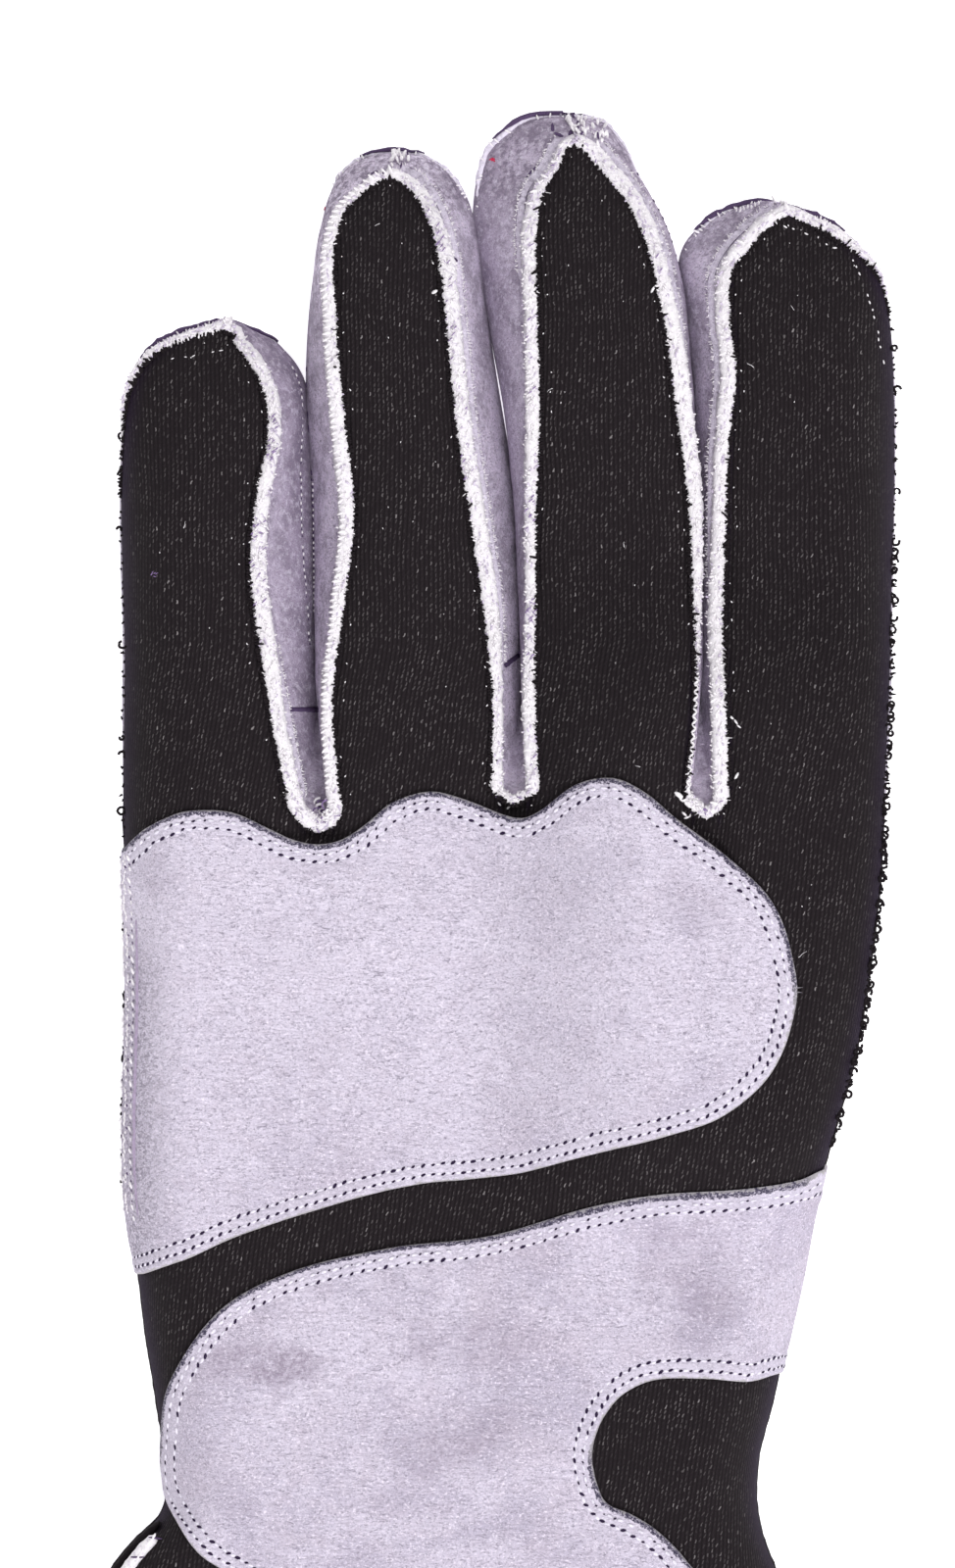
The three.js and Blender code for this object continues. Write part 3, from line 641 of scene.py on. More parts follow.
def ridge_material(settings):
    """Raw edges of a seam: brushed fibres along it, crossed by slanted stitches."""
    n = cloth("raw_seam", settings.ridge, 0.97)
    run = n.place(uv="run")
    streaks = n.noise(n.place(uv="run", scale=(2.2, 0.9, 1)), 1.7, 4, 0.8)
    blots = n.noise(n.here(), 1.7, 4, 0.85)
    axes = n.axes(run)
    slant = n.math("MULTIPLY_ADD", axes["X"], 0.9, axes["Y"])
    slant = n.math("MULTIPLY_ADD", n.noise(run, 0.6, 2), 1.6, slant)
    hatch = n.math("SINE", n.times(slant, 2 * math.pi / (settings.hatch_pitch / MM)))
    lines = n.times(n.ramp(hatch, 0.45, 0.95), n.attribute("hatch"))
    lines = n.times(lines, n.ramp(blots, 0.42, 0.56))
    colour = n.blend(n.ramp(streaks, 0.5, 0.72, 0, 0.5), settings.ridge, settings.ridge_shade)
    colour = n.blend(n.ramp(blots, 0.6, 0.7, 0, 0.5), colour, settings.hatch_colour)
    colour = n.blend(n.attribute("flank"), colour, settings.crease)
    colour = n.blend(lines, colour, settings.hatch_colour)
    height = n.math("MULTIPLY_ADD", lines, -0.5, n.plus(streaks, blots))
    return n.finish(colour, n.bump(height, 0.8, 0.3 * MM))


def plain_material(name, base):
    """A small fibre or stitch: one colour with a little variation."""
    n = cloth(name, base, 0.95)
    spots = n.noise(n.here(), 2.3, 2)
    colour = n.blend(n.ramp(spots, 0.3, 0.75), base, tinted(base, 0.75))
    return n.finish(colour)


# Mesh helpers

def grid_mesh(columns, rows, point):
    """A grid with its vertices where point(column, row) says."""
    bm = bmesh.new()
    bmesh.ops.create_grid(bm, x_segments=columns, y_segments=rows, size=0.5)
    bm.verts.ensure_lookup_table()
    for vert in bm.verts:
        column = round((vert.co.x + 0.5) * columns)
        row = round((vert.co.y + 0.5) * rows)
        vert.co = point(column, row)
    return bm


def write_uv(bm, name, uv_of):
    """uv_of gives a vertex's place on the map by its index."""
    layer = bm.loops.layers.uv.new(name)
    bm.verts.index_update()
    for face in bm.faces:
        for loop in face.loops:
            loop[layer].uv = uv_of[loop.vert.index]


def write_values(bm, name, values):
    layer = bm.verts.layers.float.new(name)
    for vert, value in zip(bm.verts, values):
        vert[layer] = value


def cut_cells(bm, is_open):
    """Takes out the faces that is_open says yes to."""
    gone = [face for face in bm.faces if is_open(face)]
    bmesh.ops.delete(bm, geom=gone, context="FACES")


def in_scene(name, data):
    obj = bpy.data.objects.new(name, data)
    bpy.context.scene.collection.objects.link(obj)
    return obj


def finished_mesh(obj):
    """A mesh of what an object shows: with its modifiers applied, or with its curves as tubes."""
    bpy.context.view_layer.update()
    evaluated = obj.evaluated_get(bpy.context.evaluated_depsgraph_get())
    return bpy.data.meshes.new_from_object(evaluated)


def piece(name, bm, material, sharp_angle=50, thickness=None):
    """A finished piece at the origin from a mesh in table millimetres."""
    bmesh.ops.transform(bm, matrix=TO_FRAME, verts=bm.verts)
    mesh = bpy.data.meshes.new(name)
    bm.to_mesh(mesh)
    bm.free()
    mesh.materials.append(material)
    obj = in_scene(name, mesh)
    if thickness:
        wall = obj.modifiers.new("wall", "SOLIDIFY")
        wall.thickness = thickness * MM
        wall.offset = -1
        solid = finished_mesh(obj)
        obj.modifiers.clear()
        obj.data = solid
    obj.data.shade_smooth()
    obj.data.set_sharp_from_angle(angle=math.radians(sharp_angle))
    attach(obj, "root")
    return obj


def stands_for(obj, slot, *nodes):
    if nodes:
        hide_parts(*nodes)
    return obj


class Stitches:
    """Many small rounded lengths of thread in one mesh."""

    def __init__(self, segments=7, rings=4):
        shape = bmesh.new()
        bmesh.ops.create_uvsphere(shape, u_segments=segments, v_segments=rings, radius=1)
        self.template = bpy.data.meshes.new("stitch")
        shape.to_mesh(self.template)
        shape.free()
        self.bm = bmesh.new()

    def add(self, middle, heading, up, length, width, height):
        side = up.cross(heading).normalized()
        heading = heading.normalized()
        rise = heading.cross(side).normalized()
        turn = Matrix((heading, side, rise)).transposed().to_4x4()
        stretch = Matrix.Diagonal((length / 2, width / 2, height / 2, 1))
        copy = self.template.copy()
        copy.transform(Matrix.Translation(middle) @ turn @ stretch)
        self.bm.from_mesh(copy)
        bpy.data.meshes.remove(copy)

    def piece(self, name, material, slot):
        return stands_for(piece(name, self.bm, material, sharp_angle=80), slot)


def sweep(line, lengths, rings):
    """A bar along a line through rings, which list the (out, up) offsets of the points round it."""
    sides = len(rings[0])
    frames = [(line(length), line.outward(length)) for length in lengths]

    def point(column, row):
        start, out = frames[row]
        offset_out, offset_up = rings[row][column % sides]
        return start + out * offset_out + UP * offset_up

    return grid_mesh(sides, len(lengths) - 1, point)


def round_ring(half_width, half_height, up=0.0, sides=8):
    angles = [2 * math.pi * k / sides for k in range(sides)]
    return [(half_width * math.cos(a), up + half_height * math.sin(a)) for a in angles]


def seam_bar(name, line, lengths, rings, material, rough):
    """A plain raw edge that is a little uneven."""
    bm = sweep(line, lengths, rings)
    for key, value in (("hatch", 0.3), ("flank", 0.0)):
        write_values(bm, key, [value] * len(bm.verts))
    sides = len(rings[0]) + 1
    write_uv(bm, "run", [(i % sides * 0.4, lengths[i // sides]) for i in range(len(bm.verts))])
    for vert in bm.verts:
        vert.co += noise.noise_vector(vert.co / 0.7) * rough
    close_bar(bm)
    return stands_for(piece(name, bm, material, sharp_angle=80), "raw_seam")


# Raw edges of one kind each: the pitch of the rings round them, the rings' half width, half height,
# rise and number of sides, how blunt their ends are and how long they taper, and how rough they are
BARS = {row["kind"]: row for row in table("kind pitch half_width half_height up sides blunt taper rough", [
    ("wall_join", 0.5, 0.36, 0.24, 0.0, 6, 0, None, 0.08),
    # The side crease is no raw edge but a flat band of painted shade along the fold beside the knuckle patch
    ("side_crease", 0.6, 0.34, 0.12, 0.0, 8, 0.1, 14, 0.16),
    ("cuff_seam", 0.5, 0.9, 0.8, 0.3, 8, 0.15, 0.8, 0.16),
    ("cuff_edge", 0.6, 0.55, 0.9, 0.0, 8, 0.1, 2, 0.22),
    ("hand_side", 0.8, 0.6, 1.0, 0.0, 8, 0, None, 0.1),
    ("finger_side", 0.8, 0.5, 1.15, 0.0, 8, 0, None, 0.1),
])}


def bar_of_kind(kind, name, line, material):
    """A raw edge along a whole line, shaped as the table says."""
    bar = BARS[kind]
    lengths = line.steps(bar["pitch"])
    rings = []
    for s in lengths:
        end = roll(min(s, line.length - s) + bar["blunt"], bar["taper"]) if bar["taper"] else 1
        rings.append(round_ring(bar["half_width"] * end, bar["half_height"], bar["up"], bar["sides"]))
    return seam_bar(name, line, lengths, rings, material, bar["rough"])


def close_bar(bm):
    bmesh.ops.remove_doubles(bm, verts=bm.verts, dist=1e-4)
    ends = [edge for edge in bm.edges if edge.is_boundary]
    bmesh.ops.holes_fill(bm, edges=ends, sides=0)
    bmesh.ops.recalc_face_normals(bm, faces=bm.faces)


def strand(rng, root, heading, length, curl, radius=1.0, steps=4):
    """One loose fibre: points with a radius that tapers."""
    points = []
    spot = root.copy()
    heading = heading.normalized()
    for i in range(steps + 1):
        points.append((spot.copy(), radius * (1 - 0.6 * i / steps)))
        turn = Vector((rng.uniform(-1, 1), rng.uniform(-1, 1), rng.uniform(-1, 1)))
        heading = (heading + turn * curl).normalized()
        spot += heading * (length / steps)
    return points


def strands_piece(name, strands, radius, material, slot):
    """Loose fibres as tubes, joined in one mesh."""
    curve = bpy.data.curves.new(name, "CURVE")
    curve.dimensions = "3D"
    curve.bevel_depth = radius * MM
    curve.bevel_resolution = 0
    curve.use_fill_caps = True
    for points in strands:
        spline = curve.splines.new("POLY")
        spline.points.add(len(points) - 1)
        for target, (spot, size) in zip(spline.points, points):
            target.co = (*(TO_FRAME @ spot), 1)
            target.radius = size
    holder = in_scene(name + "_curve", curve)
    mesh = finished_mesh(holder)
    mesh.name = name
    mesh.materials.clear()
    mesh.materials.append(material)
    bpy.data.objects.remove(holder)
    bpy.data.curves.remove(curve)
    obj = in_scene(name, mesh)
    mesh.shade_smooth()
    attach(obj, "root")
    return stands_for(obj, slot)


# The back panel

FINGER_CELLS = 26
CROTCH_CELLS = 4
HAND_ROWS = 124
BEND_ROWS = 7
FINGER_ROWS = 88
SIDE_CROWDING = 1.7
SMOOTHING_ROUNDS = 2
DIP_START_Y = -6

# The knit under its ridge seams, and its crown over a finger: how much of it fades towards the tip
KNIT_INSET_LEAST = 0.15
KNIT_UNDER_RIDGE = 0.55
CROTCH_INSET = 0.4
TIP_INSET_BACK = 0.5
CROWN_FADE = 0.45
CROWN_FADE_SPAN = (0.55, 0.95)

# Where painted shade darkens the knit beside a finger's ridges
FINGER_WIDTH = 22
CROWN_SHADE_RADIUS = CROWN_RADIUS * 0.6
CROWN_FADE_ROWS = BEND_ROWS + 4


def back_columns():
    """The grid's columns: a finger with a share across it, or a crotch with a step from -1 to 1."""
    columns = []
    for f, name in enumerate(FINGER_NAMES):
        for i in range(FINGER_CELLS + 1):
            share = i / FINGER_CELLS
            if name == "little":
                share = share**SIDE_CROWDING
            elif name == "index":
                share = 1 - (1 - share) ** SIDE_CROWDING
            else:
                share = mix(share, smooth(share, 0, 1), 0.6)
            columns.append({"finger": name, "share": share, "gap": None})
        if f < len(CROTCHES):
            for i in range(1, CROTCH_CELLS):
                columns.append({"finger": None, "step": 2 * i / CROTCH_CELLS - 1, "gap": f})
    return columns


def crown_values(points):
    """1 on top of the knit and 0 where it rolls away at a finger's or the hand's side; the knit's material
    paints shade where it is low.
    """
    columns = back_columns()
    values = []
    for row, line in enumerate(points):
        for c, column in enumerate(columns):
            outer = min(line[c].x - line[0].x, line[-1].x - line[c].x)
            value = roll(outer, SIDE_RADIUS)
            if row > HAND_ROWS and column["gap"] is None:
                share = column["share"]
                near = min(share, 1 - share) * FINGER_WIDTH
                past = smooth(row, HAND_ROWS, HAND_ROWS + CROWN_FADE_ROWS)
                value = min(value, mix(1, roll(near, CROWN_SHADE_RADIUS), past))
            values.append(value)
    return values


def crotches_beside(finger):
    """The crotches before and after a finger, with None on an outer side."""
    f = FINGER_NAMES.index(finger)
    before = CROTCHES[f - 1] if f else None
    after = CROTCHES[f] if f < len(CROTCHES) else None
    return before, after


def knit_inset(finger, side, t):
    """The knit stops under its ridge seam."""
    return max(KNIT_INSET_LEAST, RIDGE_TRACKS[finger, side](t) - KNIT_UNDER_RIDGE)


def finger_valley(finger, share):
    """Height lost towards a column that ends in a crotch."""
    tracks = FINGER_TRACKS[finger]
    left, right = tracks["back_left"](0), tracks["back_right"](0)
    x = mix(left, right, share)
    left_roll = 1 if is_outer(finger, "left") else roll(x - left, CROWN_RADIUS)
    right_roll = 1 if is_outer(finger, "right") else roll(right - x, CROWN_RADIUS)
    return CROWN_HEIGHT * (1 - min(left_roll, right_roll))


def crotch_end(column):
    """Where a column of the hand meets the row of crotches: x, y and the dip there."""
    if column["gap"] is not None:
        crotch = CROTCHES[column["gap"]]
        step = column["step"]
        return (
            crotch["x"] + crotch["half"] * step,
            crotch["y"] + CROTCH_RISE * step * step - CROTCH_INSET,
            CROWN_HEIGHT,
        )
    before, after = crotches_beside(column["finger"])
    first = FINGERS[column["finger"]][0]
    left = before["x"] + before["half"] if before else first["back_left"]
    right = after["x"] - after["half"] if after else first["back_right"]
    left_y = (before or after)["y"] + CROTCH_RISE - CROTCH_INSET
    right_y = (after or before)["y"] + CROTCH_RISE - CROTCH_INSET
    share = column["share"]
    return mix(left, right, share), mix(left_y, right_y, share), finger_valley(column["finger"], share)


def finger_point(finger, share, t):
    """A point on the knit over a finger."""
    tracks = FINGER_TRACKS[finger]
    left = tracks["back_left"](t) + knit_inset(finger, "left", t)
    right = tracks["back_right"](t) - knit_inset(finger, "right", t)
    if right < left:
        left = right = (left + right) / 2
    x = mix(left, right, share)
    y = tracks["back_y"](t) - TIP_INSET_BACK * smooth(t, TIP - 2, TIP)
    left_z = back_edge_z(finger, "left", t)
    right_z = back_edge_z(finger, "right", t)
    fade = 1 - CROWN_FADE * smooth(t / TIP, *CROWN_FADE_SPAN)
    top = ridge_z(x, y, t) + CROWN_HEIGHT * fade
    half = max((right - left) / 2, 0.01)
    left_radius = min(SIDE_RADIUS if is_outer(finger, "left") else CROWN_RADIUS, half)
    right_radius = min(SIDE_RADIUS if is_outer(finger, "right") else CROWN_RADIUS, half)
    left_roll = roll(x - left, left_radius)
    right_roll = roll(right - x, right_radius)
    z = top - (top - left_z) * (1 - left_roll) - (top - right_z) * (1 - right_roll)
    return Vector((x, y, z + softness(x, y) * left_roll * right_roll))


def back_panel_points():
    columns = back_columns()
    ends = [crotch_end(column) for column in columns]
    first, span = ends[0][0], ends[-1][0] - ends[0][0]
    points = []

    def settled(c, x, y):
        _, y_end, dip = ends[c]
        sunk = 0 if c in (0, len(ends) - 1) else dip * smooth(y, DIP_START_Y, y_end)
        return Vector((x, y, back_height(x, y) - sunk))

    def hand_x(c, y):
        return mix(hand_left(y), hand_right(y), (ends[c][0] - first) / span)

    for row in range(HAND_ROWS + 1):
        y = mix(HAND_Y[0], HAND_TOP, row / HAND_ROWS)
        points.append([settled(c, hand_x(c, y), y) for c in range(len(columns))])
    base = points[-1]
    for row in range(1, BEND_ROWS + 1):
        share = row / BEND_ROWS
        points.append([
            settled(c, mix(base[c].x, x_end, share), mix(HAND_TOP, y_end, share))
            for c, (x_end, y_end, _) in enumerate(ends)
        ])
    crotch_line = points[-1]
    for row in range(1, FINGER_ROWS + 1):
        t = (row - 2) / (FINGER_ROWS - 2) * TIP
        line = []
        for c, column in enumerate(columns):
            if column["gap"] is not None:
                line.append(crotch_line[c].copy())
            elif t < 0:
                line.append(crotch_line[c].lerp(finger_point(column["finger"], column["share"], 0), 0.5))
            else:
                line.append(finger_point(column["finger"], column["share"], t))
        points.append(line)
    return columns, points


def weave_map(points):
    """Millimetres across and along the cloth. On the rolled sides it follows the curve."""
    uv = []
    width = len(points[0])
    for line in points:
        across = [p.x for p in line]
        for c in range(width // 8, -1, -1):
            if line[0].x + SIDE_RADIUS > line[c].x:
                across[c] = across[c + 1] - (line[c + 1] - line[c]).length
        for c in range(width - width // 8, width):
            if line[-1].x - SIDE_RADIUS < line[c].x:
                across[c] = across[c - 1] + (line[c] - line[c - 1]).length
        uv.extend((a - KNIT_LEAN * min(p.y, KNIT_LEAN_END), p.y) for a, p in zip(across, line))
    return uv


def between_fingers(columns, crotch_row):
    """Says yes to the cells of a panel's grid that lie between two fingers, past their crotch."""
    width = len(columns)

    def is_between(face):
        indices = [vert.index for vert in face.verts]
        past = min(i // width for i in indices) >= crotch_row
        return past and any(columns[i % width]["gap"] is not None for i in indices)

    return is_between


def build_back_panel(settings):
    columns, points = back_panel_points()
    bm = grid_mesh(len(columns) - 1, len(points) - 1, lambda c, r: points[r][c])
    write_uv(bm, "weave", weave_map(points))
    write_values(bm, "crown", crown_values(points))
    bm.verts.index_update()
    cut_cells(bm, between_fingers(columns, HAND_ROWS + BEND_ROWS))
    bmesh.ops.remove_doubles(bm, verts=bm.verts, dist=1e-3)
    inner = [vert for vert in bm.verts if not vert.is_boundary]
    for _ in range(SMOOTHING_ROUNDS):
        bmesh.ops.smooth_vert(bm, verts=inner, factor=0.4, use_axis_x=True, use_axis_y=True, use_axis_z=True)
    material = shared("knit", lambda: knit_material(settings))
    obj = piece("knit_back", bm, material, thickness=KNIT_THICKNESS)
    return stands_for(obj, "knit", "back_panel")


# The palm

PALM_CELLS = 22
PALM_ROWS = 96
PALM_FINGER_ROWS = 60
THUMB_HOLE = {"from_y": -16, "to_y": 3, "from_x": 24, "to_x": 41}
PALM_BASE_Y = 31
PALM_BASE_SIDES = (-51.9, 50.9)
PALM_BEND_ROWS = 8


def palm_rise(distance):
    return PALM_EDGE_RISE * (1 - roll(distance, PALM_EDGE_RADIUS))


def palm_columns():
    columns = []
    for f, name in enumerate(FINGER_NAMES):
        columns += [{"finger": name, "share": i / PALM_CELLS, "gap": None} for i in range(PALM_CELLS + 1)]
        if f < len(CROTCHES):
            columns.append({"finger": None, "share": 0, "gap": f})
    return columns


def palm_end(column):
    if column["gap"] is not None:
        crotch = CROTCHES[column["gap"]]
        return crotch["palm_x"], crotch["palm_y"]
    before, after = crotches_beside(column["finger"])
    first = FINGERS[column["finger"]][0]
    left = before["palm_x"] + PALM_CROTCH_HALF_WIDTH if before else first["palm_left"]
    right = after["palm_x"] - PALM_CROTCH_HALF_WIDTH if after else first["palm_right"]
    left_y, right_y = (before or after)["palm_y"], (after or before)["palm_y"]
    return mix(left, right, column["share"]), mix(left_y, right_y, column["share"])


def palm_points():
    columns = palm_columns()
    ends = [palm_end(column) for column in columns]
    first, span = ends[0][0], ends[-1][0] - ends[0][0]
    sides = [
        Track([hand_side(HAND_TOP), base])
        for hand_side, base in zip((hand_left, hand_right), PALM_BASE_SIDES)
    ]
    points = []

    def palm_point(x, y, from_edge):
        return Vector((x, y, palm_rise(from_edge) + palm_lift(x, y)))

    for row in range(PALM_ROWS + 1):
        y = mix(HAND_Y[0], PALM_BASE_Y, row / PALM_ROWS)
        past = clamp((y - HAND_TOP) / (PALM_BASE_Y - HAND_TOP))
        left = hand_left(y) if past == 0 else sides[0](past)
        right = hand_right(y) if past == 0 else sides[1](past)
        line = []
        for x_end, _ in ends:
            x = mix(left, right, (x_end - first) / span)
            line.append(palm_point(x, y, min(x - left, right - x)))
        points.append(line)
    for row in range(1, PALM_BEND_ROWS + 1):
        share = row / PALM_BEND_ROWS
        line = []
        for base, (x_end, y_end) in zip(points[PALM_ROWS], ends):
            x, y = mix(base.x, x_end, share), mix(PALM_BASE_Y, y_end, share)
            line.append(palm_point(x, y, min(x - first, first + span - x)))
        points.append(line)
    crotch_line = points[-1]
    for row in range(1, PALM_FINGER_ROWS + 1):
        t = row / PALM_FINGER_ROWS * TIP
        line = []
        for c, column in enumerate(columns):
            if column["gap"] is not None:
                line.append(crotch_line[c].copy())
                continue
            tracks = FINGER_TRACKS[column["finger"]]
            left, right = tracks["palm_left"](t), tracks["palm_right"](t)
            x, y = mix(left, right, column["share"]), tracks["palm_y"](t)
            tip = tracks["palm_y"](TIP) - y
            line.append(palm_point(x, y, min(x - left, right - x, tip)))
        points.append(line)
    return columns, points


def build_palm(material):
    columns, points = palm_points()
    bm = grid_mesh(len(columns) - 1, len(points) - 1, lambda c, r: points[r][c])
    bm.verts.index_update()
    is_between = between_fingers(columns, PALM_ROWS + PALM_BEND_ROWS)

    def is_open(face):
        middle = face.calc_center_median()
        in_x = THUMB_HOLE["from_x"] < middle.x < THUMB_HOLE["to_x"]
        in_y = THUMB_HOLE["from_y"] < middle.y < THUMB_HOLE["to_y"]
        return is_between(face) or (in_x and in_y)

    cut_cells(bm, is_open)
    bmesh.ops.remove_doubles(bm, verts=bm.verts, dist=1e-3)
    bmesh.ops.reverse_faces(bm, faces=bm.faces)
    obj = piece("palm_suede", bm, material, thickness=LEATHER_THICKNESS)
    return stands_for(obj, "palm_leather", "palm_panel")


# The side walls and their ridge seams

LITTLE_TAPER = 4
INDEX_TAPER = 6
GAP_NAMES = ["little_ring", "ring_middle", "middle_index"]
WALL_FOOT_Z = SIDE_SEAM_Z - 0.3
FORWARD = Vector((0, 1, 0))
WALL_START = 0.5
FOOT_FLARE = 0.62
TIP_INSET = 0.15
BAND_REACH = 0.75

# From where towards the tip each side wall stands free of its neighbour
FREE_FROM = {
    ("little", "right"): 6.3,
    ("ring", "left"): 4.3,
    ("ring", "right"): 5.9,
    ("middle", "left"): 5.6,
    ("middle", "right"): 5.2,
    ("index", "left"): 7.0,
}

# Between which places each side wall shows a pale sewn margin below its ridge
MARGINS = {
    ("little", "right"): (-1, 0.2, 1.2, 2.6),
    ("ring", "right"): (0.8, 1.8, 8.3, 9.8),
    ("middle", "left"): (4.5, 6.5, 8.3, 9.8),
    ("middle", "right"): (3.5, 5.0, 8.3, 9.8),
    ("index", "left"): (1.5, 3.0, 8.3, 9.8),
}


def margin_share(station):
    """How much of its pale sewn margin a wall shows below its ridge."""
    if (station["finger"], station["side"]) not in MARGINS:
        return 0.0
    fade_in, shown, fade_out, gone = MARGINS[station["finger"], station["side"]]
    return smooth(station["t"], fade_in, shown) * (1 - smooth(station["t"], fade_out, gone))


def band_reach(station):
    """How far that margin stands out."""
    return BAND_REACH * margin_share(station) * clamp((station["half_width"] - 0.3) / 0.5)


# Close to a crotch the stations stand closer together
CROTCH_STATIONS = (0.6, 0.25, 0.08, 0)


def side_station(finger, side, t):
    tracks = FINGER_TRACKS[finger]
    x, y = tracks["back_" + side](t), tracks["back_y"](t)
    palm_x, palm_y = tracks["palm_" + side](t), tracks["palm_y"](t)
    foot = WALL_FOOT_Z + palm_lift(palm_x, palm_y)
    return {
        "top": Vector((x, y, max(back_edge_z(finger, side, t), foot + 1))),
        "foot": Vector((palm_x, palm_y, foot)),
        "half_width": RIDGE_TRACKS[finger, side](t),
        "finger": finger, "side": side, "t": t,
    }


def crotch_station(f, step):
    crotch = CROTCHES[f]
    x, y = crotch["x"] + step * crotch["half"], crotch["y"] + abs(step) * CROTCH_RISE
    palm_x = crotch["palm_x"] + step * PALM_CROTCH_HALF_WIDTH
    palm_y = crotch["palm_y"] + abs(step) * PALM_CROTCH_HALF_WIDTH
    return {
        "top": Vector((x, y, RIDGE_Z + BACK_FOLLOW * palm_lift(x, y))),
        "foot": Vector((palm_x, palm_y, WALL_FOOT_Z + palm_lift(palm_x, palm_y))),
        "half_width": crotch["ridge"],
        "finger": None, "side": "right" if step < 0 else "left", "t": -1,
    }


def wall_stations(f):
    """Stations of one strip, from a fingertip round the crotch to the next fingertip."""
    lower, upper = FINGER_NAMES[f], FINGER_NAMES[f + 1]
    whole = [*range(TIP, 0, -1), *CROTCH_STATIONS]
    down = [side_station(lower, "right", t) for t in whole]
    up = [side_station(upper, "left", t) for t in reversed(whole)]
    start = [side_station(lower, "left", t) for t in range(LITTLE_TAPER, TIP)] if f == 0 else []
    end = [side_station(upper, "right", t) for t in range(TIP - 1, INDEX_TAPER - 1, -1)] if f == 2 else []
    return start + down + [crotch_station(f, step) for step in (-1, 0, 1)] + up + end


# How much painted shade each side wall takes towards its fold
WALL_SHADES = {
    ("little", "right"): 0.9,
    ("ring", "left"): 0.0,
    ("ring", "right"): 0.1,
    ("middle", "left"): 0.7,
    ("middle", "right"): 0.45,
    ("index", "left"): 0.25,
}

# How many of its places along a ridge carry a thick loop of thread
WHIPPED = {
    ("ring", "left"): 0.97,
    ("middle", "left"): 0.2,
    ("index", "left"): 0.15,
    (None, "left"): 0.3,
}


class Wall:
    """One strip's lines: its top under the ridge seam, its foot on the palm's edge."""

    def __init__(self, f):
        stations = wall_stations(f)
        self.name = GAP_NAMES[f]
        self.top = Line([s["top"] for s in stations])
        self.foot = Line([s["foot"] for s in stations], self.top.lengths)

        def track(value_of):
            return Track([float(value_of(s)) for s in stations], self.top.lengths)

        def freedom(s):
            start = FREE_FROM.get((s["finger"], s["side"]), 4.5)
            return smooth(s["t"], start, start + 1.4)

        self.half_width = track(lambda s: s["half_width"])
        self.margin = track(margin_share)
        self.band = track(band_reach)
        self.at_tip = track(freedom)
        self.spread = track(lambda s: smooth(s["t"], -1, 0.7))
        self.is_left = track(lambda s: s["side"] == "left")
        self.snug = track(lambda s: s["finger"] is not None and is_outer(s["finger"], s["side"]))
        self.shade = track(lambda s: WALL_SHADES.get((s["finger"], s["side"]), 0.5))
        self.whipped = track(lambda s: WHIPPED.get((s["finger"], s["side"]), 0.0))
        self.tips = [length for s, length in zip(stations, self.top.lengths) if s["t"] == TIP]
        self.middle = self.top.lengths[[s["finger"] for s in stations].index(None) + 1]
        self.stations = stations

    def length_at(self, finger, side, t):
        """The length along the strip of a place on one side of a finger."""
        places = {
            s["t"]: length
            for s, length in zip(self.stations, self.top.lengths)
            if s["finger"] == finger and s["side"] == side
        }
        places[TIP] = min(self.tips, key=lambda tip: abs(tip - places[TIP - 1]))
        low = max(place for place in places if place <= t)
        high = min((place for place in places if place > t), default=low)
        share = (t - low) / (high - low) if high > low else 0
        return mix(places[low], places[high], share)

    def outward(self, length):
        out = self.top.outward(length, 0.8)
        for tip in self.tips:
            out = out.lerp(FORWARD, 1 - smooth(abs(length - tip), 0, 3))
        return out.normalized()

    def point(self, length, level):
        """A point on the strip's face towards the gap. Level is 0 at the top and 1 at the foot."""
        top, foot = self.top(length), self.foot(length)
        out = self.outward(length)
        depth = level * (foot - top).length
        band = self.band(length) * (smooth(depth, 0, 0.6) - smooth(depth, 1.0, 1.6))
        loose = 1 - self.snug(length)
        bulge = mix(0.1, 0.6, loose) * math.sin(math.pi * level)
        flare = mix(mix(0.1, FOOT_FLARE, self.spread(length)), -TIP_INSET, self.at_tip(length))
        head = top + out * WALL_START * mix(-0.4, 1, loose)
        return head.lerp(foot + out * mix(-0.3, flare, loose), level) + out * (bulge + band)

    def level_at(self, length, depth):
        return depth / (self.foot(length) - self.top(length)).length


WALLS = [Wall(f) for f in range(len(GAP_NAMES))]
WALL_PITCH = 0.9
WALL_LEVELS = [
    0, 0.02, 0.04, 0.055, 0.07, 0.085, 0.1, 0.12, 0.14, 0.165, 0.2,
    0.26, 0.34, 0.43, 0.52, 0.62, 0.72, 0.82, 0.91, 0.96, 1,
]


def wall_beside(finger, side):
    """The wall that runs past one side of a finger."""
    f = FINGER_NAMES.index(finger)
    return WALLS[min(f, len(WALLS) - 1) if side == "right" else max(f - 1, 0)]


def build_wall(wall, material):
    lengths = wall.top.steps(WALL_PITCH)
    rows = list(reversed(WALL_LEVELS))

    def point(column, row):
        spot = wall.point(lengths[column], rows[row])
        ripple = 0.1 * noise.noise(spot / 2.2) + 0.25 * noise.noise(spot / 9)
        return spot + wall.outward(lengths[column]) * ripple * math.sin(math.pi * rows[row])

    bm = grid_mesh(len(lengths) - 1, len(rows) - 1, point)
    places = [(level, length) for level in rows for length in lengths]
    write_values(bm, "level", [level for level, _ in places])
    write_values(bm, "depth", [level * (wall.foot(s) - wall.top(s)).length for level, s in places])
    for name, track in (("shade", wall.shade), ("tip", wall.at_tip), ("margin", wall.margin)):
        write_values(bm, name, [track(s) for _, s in places])
    bmesh.ops.reverse_faces(bm, faces=bm.faces)
    obj = piece("side_wall_" + wall.name, bm, material, thickness=WALL_THICKNESS)
    return stands_for(obj, "side_wall_suede", "fourchette_" + wall.name)


RIDGE_PITCH = 0.45
RIDGE_SIDES = 12
RIDGE_HEIGHT = 2.1
RIDGE_LIFT = 0.55
RIDGE_ROUND = 5.6
RIDGE_LEAST_HALF = 0.06

